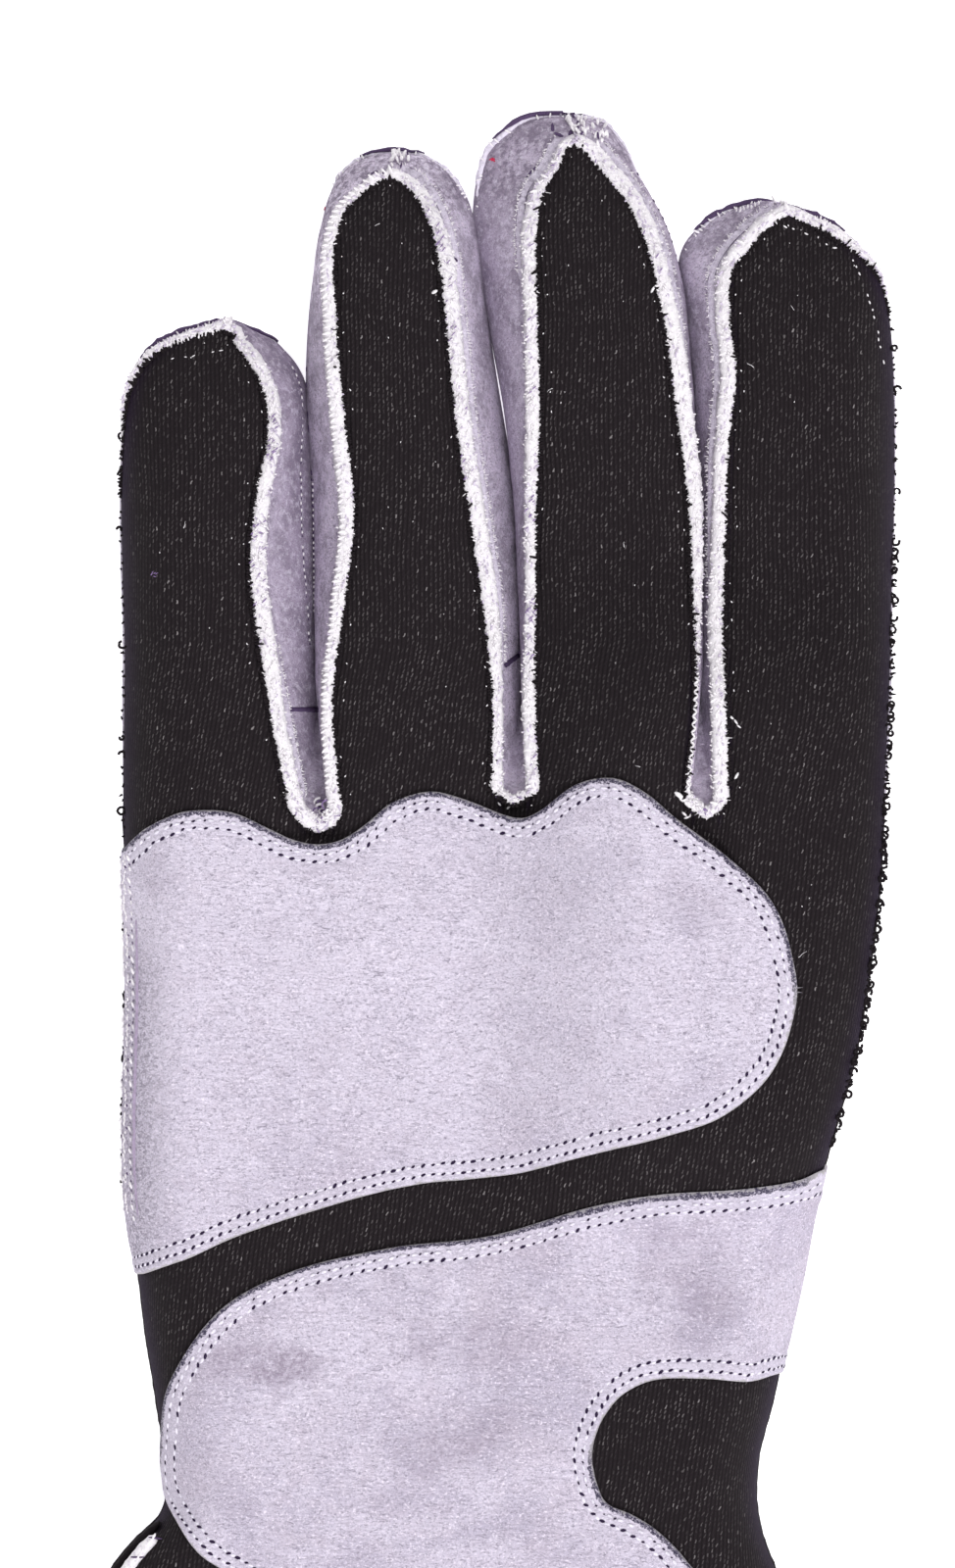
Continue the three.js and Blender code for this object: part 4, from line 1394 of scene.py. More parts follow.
# How much of a ridge shows purple stitches, for each finger's two sides
HATCHED = {
    ("little", "right"): Track([0.1, 0.1, 0.15, 0.5, 1.0, 0.9, 0.2, 0.1, 0.1, 0.1, 0.1]),
    ("ring", "right"): Track([0.1, 0.1, 0.2, 0.3, 0.3, 0.3, 0.5, 0.5, 0.4, 0.3, 0.2]),
    ("middle", "right"): Track([0.1, 0.1, 0.1, 0.1, 0.1, 0.2, 0.3, 0.4, 0.3, 0.2, 0.2]),
    ("middle", "left"): Track([0.2, 0.4, 0.8, 0.5, 0.3, 0.3, 0.3, 0.3, 0.3, 0.2, 0.2]),
    (None, "right"): Track([0.3, 0.3]),
    (None, "left"): Track([0.6, 0.6]),
}
PLAIN = Track([0.1, 0.1])


def hatch_amount(wall, length):
    """How much purple stitching a ridge shows at one length."""
    near = min(range(len(wall.stations)), key=lambda i: abs(wall.top.lengths[i] - length))
    station = wall.stations[near]
    amount = HATCHED.get((station["finger"], station["side"]), PLAIN)(station["t"])
    return amount * smooth(noise.noise(Vector((length / 9, wall.top.length, 0))), -0.45, 0.1)


def ridge_values(wall, lengths):
    """For each vertex of a ridge: how much purple stitching it shows, and how shaded its flank is."""
    hatches, flanks = [], []
    for length in lengths:
        amount = hatch_amount(wall, length)
        left = wall.is_left(length) * (1 - wall.snug(length))
        for k in range(RIDGE_SIDES + 1):
            facing = math.cos(2 * math.pi * k / RIDGE_SIDES)
            hatches.append(amount)
            flanks.append(0.35 * left * smooth(facing, 0.3, 0.8))
    return hatches, flanks


def ridge_height(half_width):
    """A thin ridge is lower than a full one."""
    return RIDGE_HEIGHT * min(1, 0.35 + 0.65 * half_width)


def ridge_ring(half_width):
    """A flattened round with a shallow crease along its top, as (out, up) offsets."""
    ring = []
    for k in range(RIDGE_SIDES):
        angle = 2 * math.pi * k / RIDGE_SIDES
        out = math.copysign(abs(math.cos(angle)) ** 0.8, math.cos(angle)) * half_width
        up = math.sin(angle)
        crease = 0.22 * math.exp(-((out / max(half_width, 0.01)) / 0.28) ** 2) if up > 0 else 0
        ring.append((out, RIDGE_LIFT + ridge_height(half_width) * 0.5 * (up - crease)))
    return ring


def build_ridge(wall, material):
    lengths = wall.top.steps(RIDGE_PITCH)
    rings = [ridge_ring(max(wall.half_width(s), RIDGE_LEAST_HALF)) for s in lengths]
    bm = sweep(wall.top, lengths, rings)
    around = [k / RIDGE_SIDES * RIDGE_ROUND for k in range(RIDGE_SIDES + 1)]
    write_uv(bm, "run", [(turn, length) for length in lengths for turn in around])
    hatches, flanks = ridge_values(wall, lengths)
    write_values(bm, "hatch", hatches)
    write_values(bm, "flank", flanks)
    bm.verts.index_update()
    for vert in bm.verts:
        shift = noise.noise_vector(vert.co / 1.6) * 0.24 + noise.noise_vector(vert.co / 0.6) * 0.24
        vert.co += shift * smooth(wall.half_width(lengths[vert.index // len(around)]), 0, 0.8)
    close_bar(bm)
    obj = piece("ridge_" + wall.name, bm, material, sharp_angle=80)
    return stands_for(obj, "raw_seam", "seam_" + wall.name)


def build_ridge_tufts(wall, rng, pitch, material, shade, violet):
    """Matted tufts all over a ridge, which make its edges ragged, and purple stitches between them."""
    tufts, shaded, purple = Stitches(5, 3), Stitches(5, 3), Stitches(5, 3)
    for s in wall.top.steps(pitch):
        half = wall.half_width(s)
        if half < 0.15:
            continue
        out, heading = wall.outward(s), wall.top.heading(s)
        across = rng.uniform(-1.08, 1.08)
        if across > 0.1 and rng.random() < 0.8 * wall.whipped(s):
            continue
        up = RIDGE_LIFT + ridge_height(half) * 0.5 * math.sqrt(max(0.02, 1 - abs(across) ** 2.5))
        lean = out * across * rng.uniform(0.2, 1.3) + heading * rng.uniform(-1, 1)
        lean += UP * rng.uniform(-0.3, 0.4)
        long = rng.uniform(0.45, 0.95)
        spot = wall.top(s) + out * across * half + UP * (up - 0.08)
        clump = noise.noise(Vector((s / 2.5, across * 1.5, wall.top.length)))
        is_shaded = rng.random() < clamp(0.2 + 0.8 * clump + 0.3 * wall.at_tip(s))
        target = shaded if is_shaded else tufts
        target.add(spot, lean, UP + out * across, long, rng.uniform(0.22, 0.36), 0.26)
        if rng.random() < 0.55 * (hatch_amount(wall, s) - 0.15):
            mark = wall.top(s) + out * half * rng.uniform(-0.8, 0.8) + UP * (up + 0.12)
            purple.add(mark, heading * 0.8 - out, UP, rng.uniform(0.5, 1.2), rng.uniform(0.14, 0.24), 0.2)
    tufts.piece("ridge_tufts_" + wall.name, material, "raw_seam")
    shaded.piece("ridge_shaded_tufts_" + wall.name, shade, "raw_seam")
    purple.piece("ridge_purple_stitches_" + wall.name, violet, "raw_seam")


# Seams round the fingertips, and whip stitches over the ridges

# Rims round the fingertips: where the rim starts, from where it has a dark outline (the palm's edge
# with painted shade where it faces away from the key light), and how many of its places have a pale thread
# across
TIP_RIMS = table("finger side start dark threads", [
    ("little", "left", 5.8, 6.6, 0.95),
    ("little", "right", 6.4, 7.6, 0.1),
    ("ring", "left", 6.4, 8.7, 0.5),
    ("ring", "right", 6.4, 8.9, 0.5),
    ("middle", "left", 5.8, 8.0, 0.5),
    ("middle", "right", 6.4, 9.6, 0.15),
    ("index", "left", 6.0, 7.9, 0.6),
    ("index", "right", 7.4, 7.9, 0.25),
])


def tip_runs():
    """For each rim: its row of the table, its wall and the lengths from its start to the apex."""
    runs = []
    for rim in TIP_RIMS:
        finger, side = rim["finger"], rim["side"]
        wall = wall_beside(finger, side)
        start, dark, end = [wall.length_at(finger, side, t) for t in (rim["start"], rim["dark"], TIP)]
        runs.append((rim, wall, min(start, end), max(start, end), min(dark, end), max(dark, end)))
    return runs


def build_tip_seams(margin, dark):
    for rim, wall, start, end, dark_start, dark_end in tip_runs():
        name = rim["finger"] + "_" + rim["side"]
        for title, a, b, shift, width, height, up, material in (
            ("tip_rim_", start, end, -0.5, 0.55, 0.5, 0.2, margin),
            # The dark outline: the palm's edge with painted shade on the arcs that face away from the key
            # light
            ("tip_shade_outline_", dark_start, dark_end, 0.12, 0.42, 0.4, 0.3, dark),
        ):
            lengths = wall.foot.steps(0.5, a, b)
            line = Line([wall.foot(s) + wall.outward(s) * shift for s in lengths])
            away = b if abs(a - wall.length_at(rim["finger"], rim["side"], TIP)) < 1e-6 else a
            grow = [smooth(abs(s - away), -0.5, 3) for s in lengths]
            rings = [
                round_ring(mix(0.12, width * (0.85 + 0.5 * noise.noise(line(s) / 1.1)), g), height, up=up)
                for s, g in zip(line.lengths, grow)
            ]
            seam_bar(title + name, line, line.lengths, rings, material, 0.18)


# The tangle of stitches where the ridges meet: how far it spreads past the apex and down the wall
APEXES = table("finger reach deep count", [
    ("little", 1.3, 0.3, 9),
    ("ring", 1.3, 0.85, 20),
    ("middle", 3.3, 0.95, 44),
    ("index", 1.8, 0.5, 14),
])


def build_whip_stitches(settings, thread, dark):
    """Slanted loops over the left-hand ridges, threads over the tips' rims and a tangle at each apex."""
    rng = random.Random(5)
    loops, shadows = Stitches(), Stitches(5, 3)
    for wall in WALLS:
        for s in wall.top.steps(settings.whip_pitch / MM):
            half = wall.half_width(s)
            if rng.random() > wall.whipped(s) or wall.snug(s) > 0.4 or half < 0.35:
                continue
            out, heading = wall.outward(s), wall.top.heading(s)
            middle = wall.top(s) + out * half * rng.uniform(0.45, 0.65) + UP * rng.uniform(1.2, 1.35)
            slant = heading * rng.uniform(0.1, 0.9) - out
            loops.add(middle, slant, UP + out * 0.5, rng.uniform(1.0, 1.4), rng.uniform(0.34, 0.46), 0.6)
    for rim, wall, start, end, _, _ in tip_runs():
        for s in wall.foot.steps(0.6, start, end):
            if rng.random() > rim["threads"]:
                continue
            out = wall.outward(s)
            middle = wall.foot(s) + out * rng.uniform(-0.6, -0.2) + UP * rng.uniform(0.7, 1.0)
            slant = out + wall.foot.heading(s) * rng.uniform(-0.6, 0.6)
            loops.add(middle, slant, UP, rng.uniform(0.7, 1.3), rng.uniform(0.22, 0.34), 0.3)
    for apex in APEXES:
        wall = wall_beside(apex["finger"], "right")
        tip = wall.length_at(apex["finger"], "right", TIP)
        for i in range(apex["count"]):
            s = tip + rng.uniform(-0.25, 1) * apex["reach"] * (1 if rng.random() < 0.7 else 0.4)
            level = rng.uniform(0, 1) * apex["deep"]
            middle = wall.point(s, level) + wall.outward(s) * 0.1 + UP * mix(1.3, 0.2, level)
            slant = Vector((rng.uniform(-0.7, 0.7), 1, rng.uniform(-0.3, 0.1)))
            target = shadows if i % 8 == 7 else loops
            target.add(middle, slant, UP, rng.uniform(0.7, 1.4), rng.uniform(0.3, 0.5), 0.36)
    loops.piece("whip_stitches", thread, "raw_seam")
    shadows.piece("apex_thread_ends", dark, "raw_seam")


# The stitches that close the walls, seen in the gaps
WALL_ROWS = table("finger side start end level pitch is_dark", [
    ("little", "right", 1.2, 6.4, 0.7, 1.2, False),
    ("ring", "left", 1.1, 2.8, 0.88, 1.0, False),
    ("ring", "left", 1.1, 2.8, 0.93, 1.0, True),
    ("ring", "left", 2.9, 4.2, 0.93, 2.4, True),
    ("middle", "right", 3.2, 7.0, 0.8, 1.3, True),
])

# Where two lengths of a wall's leather are joined
WALL_JOINS = table("finger side y slope level_from level_to", [
    ("little", "right", 41.0, 0, 0.12, 1.0),
    ("ring", "left", 41.0, 0, 0.3, 1.0),
    ("ring", "right", 47.2, 0.8, 0.12, 1.0),
    ("middle", "left", 47.2, 0.8, 0.3, 1.0),
])
JOIN_STEPS = 15
HALVINGS = 14

# Red thread ends: the wall they hang on, and where
RED_BITS = table("finger side x y", [("ring", "left", -23.9, 108.4), ("middle", "left", -2.2, 115.5)])


def join_length(wall, join, level):
    """The length along a strip at which one of its levels crosses the join's line."""
    low, high = wall.middle, wall.length_at(join["finger"], join["side"], 6)
    for _ in range(HALVINGS):
        between = (low + high) / 2
        spot = wall.point(between, level)
        if spot.y - join["slope"] * spot.x < join["y"]:
            low = between
        else:
            high = between
    return low


def build_wall_stitches(pale, dark, red):
    rng = random.Random(17)
    threads, shadows, bits = Stitches(), Stitches(), Stitches()
    for row in WALL_ROWS:
        wall = wall_beside(row["finger"], row["side"])
        a = wall.length_at(row["finger"], row["side"], row["start"])
        b = wall.length_at(row["finger"], row["side"], row["end"])
        for s in wall.top.steps(row["pitch"], min(a, b), max(a, b)):
            if rng.random() < 0.15:
                continue
            level = row["level"] + rng.uniform(-0.012, 0.012)
            spot, out = wall.point(s, level), wall.outward(s)
            heading = wall.point(s + 0.3, level) - spot
            up = out + UP
            target = shadows if row["is_dark"] else threads
            target.add(spot + out * 0.04, heading, up, row["pitch"] * rng.uniform(0.3, 0.5), 0.22, 0.22)
            if not row["is_dark"]:
                shadows.add(spot + heading.normalized() * row["pitch"] * 0.45, heading, up, 0.35, 0.2, 0.16)
    for number, join in enumerate(WALL_JOINS):
        wall = wall_beside(join["finger"], join["side"])
        points = []
        for i in range(JOIN_STEPS + 1):
            level = mix(join["level_from"], join["level_to"], i / JOIN_STEPS)
            s = join_length(wall, join, level)
            points.append(wall.point(s, level) + wall.outward(s) * 0.02)
        bar_of_kind("wall_join", f"wall_join_{number}", Line(points), dark)
    for bit in RED_BITS:
        wall = wall_beside(bit["finger"], bit["side"])
        target = Vector((bit["x"], bit["y"]))
        s = min(wall.top.steps(0.4), key=lambda s: (wall.point(s, 0.8).xy - target).length)
        spot = wall.point(s, 0.8)
        for _ in range(4):
            turn = Vector((rng.uniform(-1, 1), rng.uniform(-1, 1), 0.2))
            bits.add(spot + UP * 0.65 + turn * 0.16, turn, UP, 0.7, 0.28, 0.28)
    threads.piece("wall_stitches", pale, "raw_seam")
    shadows.piece("wall_creases", dark, "side_wall_suede")
    bits.piece("red_thread_ends", red, "raw_seam")


# The suede patches

KNUCKLE = table("x top bottom", [
    (-50.6, 22.3, -35.0),
    (-49.5, 23.4, -34.8),
    (-47.8, 25.0, -34.2),
    (-45.4, 26.4, -33.4),
    (-42.4, 27.4, -32.4),
    (-37, 27.2, -30.0),
    (-32, 25.0, -28.2),
    (-28.7, 23.5, -27.1),
    (-25.4, 22.9, -26.1),
    (-22.1, 23.6, -25.1),
    (-18.8, 25.8, -24.2),
    (-15.5, 28.5, -23.4),
    (-10.5, 30.0, -22.5),
    (-5.6, 28.9, -22.1),
    (0.9, 26.5, -21.3),
    (4.3, 27.3, -20.5),
    (9.2, 30.9, -19.1),
    (14.2, 31.8, -17.8),
    (18.5, 29.8, -16.8),
    (22.5, 26.4, -15.7),
    (27.4, 22.8, -14.1),
    (31.5, 19.4, -11.5),
    (34.8, 16.0, -8.2),
    (37.0, 11.8, -4.2),
    (38.3, 6.6, 0.4),
    (38.7, 3.5, 3.5),
])
KNUCKLE_SEAM = -51.0
KNUCKLE_FLAT = -37
KNUCKLE_PARTS = 16
KNUCKLE_ROWS = 50

# The columns of the knuckle patch take each fourth place of its edges up to this row of the
# table, and each second one from there to its pointed end
KNUCKLE_POINT = 20

WRIST = table("outer_x outer_y inner_x inner_y", [
    (44.5, -19.8, 38.5, -48.0),
    (41.4, -20.8, 35.2, -48.5),
    (38.2, -22.0, 32.0, -49.2),
    (30.7, -23.1, 26.7, -48.8),
    (20.0, -23.8, 20.0, -48.9),
    (10.9, -25.6, 15.6, -50.8),
    (-2.3, -29.6, 13.0, -53.8),
    (-15.5, -31.2, 11.8, -56.5),
    (-28.7, -34.3, 11.4, -58.5),
    (-38.6, -39.6, 11.4, -60.1),
    (-44.8, -48.8, 11.6, -61.2),
    (-46.2, -56.5, 11.8, -62.2),
    (-46.0, -64.0, 12.2, -63.4),
    (-42.2, -71.3, 12.8, -64.8),
    (-37.3, -74.9, 14.0, -65.9),
    (-27.0, -80.5, 16.5, -66.9),
    (-14.0, -86.0, 19.5, -68.7),
    (0, -90.0, 22.5, -71.4),
    (14.0, -93.0, 25.0, -74.3),
    (27.0, -95.0, 28.5, -77.5),
    (36.5, -96.0, 33.5, -79.8),
    (39.8, -96.4, 36.6, -80.7),
    (43.0, -96.6, 39.5, -81.0),
])

PATCH_THICKNESS = 0.8
PATCH_RAISE = 0.85
PATCH_SIDE_INSET = 0.35
PATCH_EDGE_ROUND = 0.55
WRIST_PARTS = 12
WRIST_ROWS = 46

# How a patch hangs down past the hand's side: how steeply, and how far at most
HANG_SLOPE = 1.2
HANG_MOST = 2.5
PROBE = 0.15

# The directions of a cut edge between which it turns from facing the cuff, with painted light on its cut, to
# facing the fingertips, with painted shade on its cut
TIPWARD_FACING = (-0.45, 0.25)
EDGE_STEPS = [0, 0.1, 0.22, 0.36, 0.55, 0.8, 1.1, 1.5, 2.0, 2.6, 3.3]


def drape(x, y, raised):
    """A place on the hand's back, or past its side and hanging down there, lifted off the knit."""
    held = clamp(x, hand_left(y) + PATCH_SIDE_INSET, hand_right(y) - PATCH_SIDE_INSET)
    slope_x = (back_height(held + PROBE, y) - back_height(held - PROBE, y)) / (2 * PROBE)
    slope_y = (back_height(held, y + PROBE) - back_height(held, y - PROBE)) / (2 * PROBE)
    normal = Vector((-slope_x, -slope_y, 1)).normalized()
    hanging = min(abs(x - held) * HANG_SLOPE, HANG_MOST)
    return Vector((held, y, back_height(held, y) - hanging)) + normal * raised, normal


def patch_raise(edge):
    """The suede thins at its cut edge and puffs up between its rows of stitches."""
    rounded = roll(edge, PATCH_EDGE_ROUND)
    puff = 0.1 * math.exp(-((edge - 1.65) / 0.45) ** 2) + 0.14 * smooth(edge, 2.4, 4.5)
    return PATCH_RAISE * (0.42 + 0.58 * rounded) + puff


def fine_steps(rows, parts):
    """Places along a table, with so many parts between one row and the next."""
    return [i / parts for i in range((len(rows) - 1) * parts + 1)]


def knuckle_line(edge):
    """The knuckle patch's upper or lower edge as a line seen from above."""
    x_track = Track([row["x"] for row in KNUCKLE], end_slope=0)
    y_track = Track([row[edge] for row in KNUCKLE])
    return [Vector((x_track(t), y_track(t), 0)) for t in fine_steps(KNUCKLE, KNUCKLE_PARTS)]


def settle_on_side(x, y):
    """Near the hand's left side the patch follows that side."""
    share = 1 - smooth(x, KNUCKLE_SEAM, KNUCKLE_FLAT)
    return x + (hand_left(y) - KNUCKLE_SEAM) * share


def outline_tree(outlines):
    points = [point for line in outlines for point in line]
    tree = KDTree(len(points))
    for i, point in enumerate(points):
        tree.insert(point, i)
    tree.balance()
    return tree


def along_line(line, i):
    """From the point before one of a line's points to the point after it."""
    return line[min(i + 1, len(line) - 1)] - line[max(i - 1, 0)]


def edge_tone(outlines):
    """1 where the cut edge faces the fingertips, away from the key light, and takes painted shade, 0 where it
    faces the cuff and takes painted light.
    """
    tones = []
    for line in outlines:
        for i in range(len(line)):
            heading = along_line(line, i)
            facing = heading.normalized().x if heading.length else 0
            inside = smooth(line[i].x, 41.5, 38.5) if line[i].y < -15 else 1
            tones.append(smooth(facing, *TIPWARD_FACING) * inside)
    return tones


def patch_mesh(columns, rows, plan, outlines):
    """A patch from its plan(column, row), with the distance to its cut edge stored on it."""
    tree = outline_tree(outlines)
    tones = edge_tone(outlines)
    edges = {}

    def point(column, row):
        x, y = plan(column, row)
        _, nearest, distance = tree.find(Vector((x, y, 0)))
        edges[row, column] = (distance, tones[nearest])
        spot, _ = drape(x, y, patch_raise(distance))
        return spot

    bm = grid_mesh(columns, rows, point)
    for k, name in enumerate(("edge", "tone")):
        write_values(bm, name, [edges[r, c][k] for r in range(rows + 1) for c in range(columns + 1)])
    bmesh.ops.remove_doubles(bm, verts=bm.verts, dist=0.01)
    return bm


def between_edges(height, middle_rows):
    """Distances from the lower edge, close together near both edges."""
    reach = min(1, 0.48 * height / EDGE_STEPS[-1])
    low = [step * reach for step in EDGE_STEPS]
    high = [height - step for step in reversed(low)]
    inner = [mix(low[-1], high[0], i / middle_rows) for i in range(1, middle_rows)]
    return low + inner + high


def knuckle_outlines():
    """The patch's upper edge, and its lower edge on the way back."""
    edges = (knuckle_line("top"), reversed(knuckle_line("bottom")))
    return [[Vector((settle_on_side(p.x, p.y), p.y, 0)) for p in edge] for edge in edges]


def build_knuckle_patch(material):
    top, bottom = knuckle_line("top"), knuckle_line("bottom")
    coarse = KNUCKLE_POINT * KNUCKLE_PARTS
    picks = [*range(0, coarse, 4), *range(coarse, len(top), 2)]
    heights = [between_edges(max(top[i].y - bottom[i].y, 1e-4), KNUCKLE_ROWS) for i in picks]

    def plan(column, row):
        i = picks[column]
        y = bottom[i].y + heights[column][row]
        return settle_on_side(top[i].x, y), y

    bm = patch_mesh(len(picks) - 1, len(heights[0]) - 1, plan, knuckle_outlines())
    obj = piece("knuckle_patch_suede", bm, material, 60, thickness=PATCH_THICKNESS)
    return stands_for(obj, "patch_suede", "knuckle_patch")


def wrist_lines():
    """The wrist patch's outer and inner edge, seen from above."""
    tracks = tracks_of(WRIST)
    steps = fine_steps(WRIST, WRIST_PARTS)
    return [
        [Vector((tracks[edge + "_x"](t), tracks[edge + "_y"](t), 0)) for t in steps]
        for edge in ("outer", "inner")
    ]


def build_wrist_patch(material):
    outer, inner = wrist_lines()
    heights = [between_edges((a - b).length, WRIST_ROWS) for a, b in zip(outer, inner)]

    def plan(column, row):
        a, b = outer[column], inner[column]
        return a.lerp(b, heights[column][row] / (a - b).length).xy

    bm = patch_mesh(len(outer) - 1, len(heights[0]) - 1, plan, [list(reversed(outer)), inner])
    bmesh.ops.recalc_face_normals(bm, faces=bm.faces)
    if sum(face.normal.z for face in bm.faces) < 0:
        bmesh.ops.reverse_faces(bm, faces=bm.faces)
    obj = piece("wrist_patch_suede", bm, material, 60, thickness=PATCH_THICKNESS)
    return stands_for(obj, "patch_suede", "wrist_patch")


# Stitching on the patches

def offset_row(outline, distances):
    """A row of stitches inside an outline that has the patch on its right."""
    row = []
    for i, (spot, distance) in enumerate(zip(outline, distances)):
        heading = along_line(outline, i)
        if heading.length < 1e-6:
            continue
        heading.normalize()
        row.append((spot + Vector((heading.y, -heading.x, 0)) * distance, distance))
    return row


def evenly(points, pitch):
    """Places one pitch apart along points that have been draped on the patch."""
    picked = [points[0]]
    walked = 0.0
    for a, b in zip(points, points[1:]):
        step = (b[0] - a[0]).length
        while walked + step >= pitch:
            share = (pitch - walked) / step
            a = (a[0].lerp(b[0], share), a[1].lerp(b[1], share))
            picked.append(a)
            step = (b[0] - a[0]).length
            walked = 0.0
        walked += step
    return picked


def stitch_row(threads, holes, outline, distances, pitches, rng, is_first):
    """Stitches with needle holes between them. Along an edge that faces the fingertips the first row has sunk
    in the nap.
    """
    draped = [drape(p.x, p.y, patch_raise(distance)) for p, distance in offset_row(outline, distances)]
    rows = [evenly(draped, pitch) for pitch in pitches]
    for spots, faces_tips in zip(rows, (True, False)):
        for (a, up), (b, _) in zip(spots, spots[1:]):
            heading = b - a
            length = heading.length
            if length < pitches[0] * 0.4:
                continue
            heading.normalize()
            facing = smooth(heading.x, *TIPWARD_FACING)
            if (facing > 0.5) != faces_tips:
                continue
            side = up.cross(heading)
            faint = facing if is_first else 0
            middle = (a + b) / 2 + side * rng.uniform(-0.06, 0.06) + up * mix(-0.02, 0.04, faint)
            slant = heading + side * rng.uniform(-0.15, 0.3)
            threads.add(middle, slant, up, length * rng.uniform(0.56, 0.72), rng.uniform(0.36, 0.5), 0.32)
            big = rng.uniform(0.75, 1.4) * mix(1, 0.65, faint)
            if rng.random() < mix(0.03, 0.35, faint):
                continue
            shift = side * rng.uniform(-0.1, 0.1) + up * 0.05
            across = heading + side * rng.uniform(0.1, 0.8)
            holes.add(a + shift, across, up, 0.74 * big, 0.38 * big, 0.14)


def build_patch_stitches(settings, thread, hole):
    rng = random.Random(11)
    outer, inner = wrist_lines()
    knuckle = knuckle_outlines()
    pitches = [settings.tipward_pitch / MM, settings.stitch_pitch / MM]
    sets = {
        "knuckle": [knuckle[0] + knuckle[1][1:]],
        "wrist": [list(reversed(outer)), inner],
    }
    for name, outlines in sets.items():
        threads, holes = Stitches(), Stitches(6, 3)
        for outline in outlines:
            first = [(settings.first_row + settings.row_shift * tone) / MM for tone in edge_tone([outline])]
            second = [settings.second_row / MM] * len(outline)
            for distances in (first, second):
                stitch_row(threads, holes, outline, distances, pitches, rng, distances is first)
        threads.piece(name + "_stitches", thread, "raw_seam")
        holes.piece(name + "_needle_holes", hole, "patch_suede")


# The thumb

THUMB = table("y left right bottom edge", [
    (-28, 27.4, 33.4, 0.9, 1.1),
    (-27, 24.6, 36.4, 0.8, 1.4),
    (-24, 21.4, 39.6, 0.4, 3.2),
    (-18, 19.4, 42.2, 0, 7.0),
    (-10, 19.2, 44.4, 0, 9.0),
    (0, 19.4, 46.4, 0, 6.4),
    (10, 19.8, 47.4, 0, 4.8),
    (20, 20.2, 47.2, 0, 4.8),
    (29, 21.0, 46.2, 0, 4.8),
    (36, 22.8, 44.4, 0, 4.8),
    (40, 25.2, 42.0, 0.2, 4.8),
    (42.6, 27.7, 39.5, 0.6, 4.8),
    (43.7, 30.0, 37.2, 1.0, 4.8),
    (44.2, 33.0, 34.2, 1.6, 4.8),
])
THUMB_Y = [row["y"] for row in THUMB]
THUMB_TRACKS = tracks_of(THUMB, THUMB_Y)
THUMB_FRONT_START = 0
THUMB_EDGE_GAP = 1.7
THUMB_TIP_RADIUS = 4
THUMB_CELLS = 26
THUMB_ROWS = 60
THUMB_ROW_CROWDING = 1.6
THUMB_FADE_Y = (32, 44)


def thumb_point(share, y, is_front):
    left, right = THUMB_TRACKS["left"](y), THUMB_TRACKS["right"](y)
    edge, bottom = THUMB_TRACKS["edge"](y), THUMB_TRACKS["bottom"](y)
    crown = math.sqrt(max(0, 1 - (2 * share - 1) ** 4)) * roll(THUMB_Y[-1] - y, THUMB_TIP_RADIUS)
    fade = 1 - CROWN_FADE * smooth(y, *THUMB_FADE_Y)
    front_edge = edge + THUMB_EDGE_GAP
    z = front_edge + (THUMB_HEIGHT - front_edge) * crown * fade if is_front else mix(edge, bottom, crown)
    return Vector((mix(left, right, share), y, z))


def thumb_share(i):
    return (1 - math.cos(math.pi * i / THUMB_CELLS)) / 2


def build_thumb(knit, leather):
    for name, is_front, material, slot, node in (
        ("thumb_knit", False, knit, "knit", "thumb_back"),
        ("thumb_suede", True, leather, "palm_leather", "thumb_front"),
    ):
        start = THUMB_FRONT_START if is_front else THUMB_Y[0]

        def point(column, row):
            share = 1 - (1 - row / THUMB_ROWS) ** THUMB_ROW_CROWDING
            return thumb_point(thumb_share(column), mix(start, THUMB_Y[-1], share), is_front)

        bm = grid_mesh(THUMB_CELLS, THUMB_ROWS, point)
        if not is_front:
            write_uv(bm, "weave", [(vert.co.x, vert.co.y) for vert in bm.verts])
            write_values(bm, "crown", [1.0] * len(bm.verts))
            bmesh.ops.reverse_faces(bm, faces=bm.faces)
        stands_for(piece(name, bm, material, thickness=LEATHER_THICKNESS), slot, node)


# Loose threads

def ridge_fibres(wall, rng, density, length):
    """White fibres that stand out of both flanks of a ridge seam."""
    strands = []
    for s in wall.top.steps(1 / density):
        half = wall.half_width(s)
        if half < 0.12:
            continue
        out, heading = wall.outward(s), wall.top.heading(s)
        for side in (-1, 1):
            clump = 0.5 + noise.noise(Vector((s * 0.9, side * 7, half)))
            if rng.random() > 0.35 + clump * 0.6:
                continue
            reach = rng.uniform(0.3, 1.0) ** 1.5 * length * (1.9 if rng.random() < 0.04 else 1)
            root = wall.top(s) + out * side * half * rng.uniform(0.55, 0.95)
            root.z += rng.uniform(0.6, 1.4)
            lean = out * side + heading * rng.uniform(-0.9, 0.9) + UP * rng.uniform(-0.1, 0.7)
            strands.append(strand(rng, root, lean, reach, 0.35, rng.uniform(0.7, 1.5)))
    return strands


def band_fibres(wall, rng):
    """The frayed edge of the wall's sewn margin."""
    strands = []
    for s in wall.top.steps(0.22):
        if wall.band(s) < 0.3 or rng.random() < 0.25:
            continue
        level = wall.level_at(s, rng.uniform(0.8, 1.25))
        out = wall.outward(s)
        lean = out + wall.top.heading(s) * rng.uniform(-1, 1) + UP * rng.uniform(0, 0.8)
        strands.append(strand(rng, wall.point(s, level), lean, rng.uniform(0.25, 0.6), 0.4))
    return strands


KNIT_TUFT_PITCH = 0.38


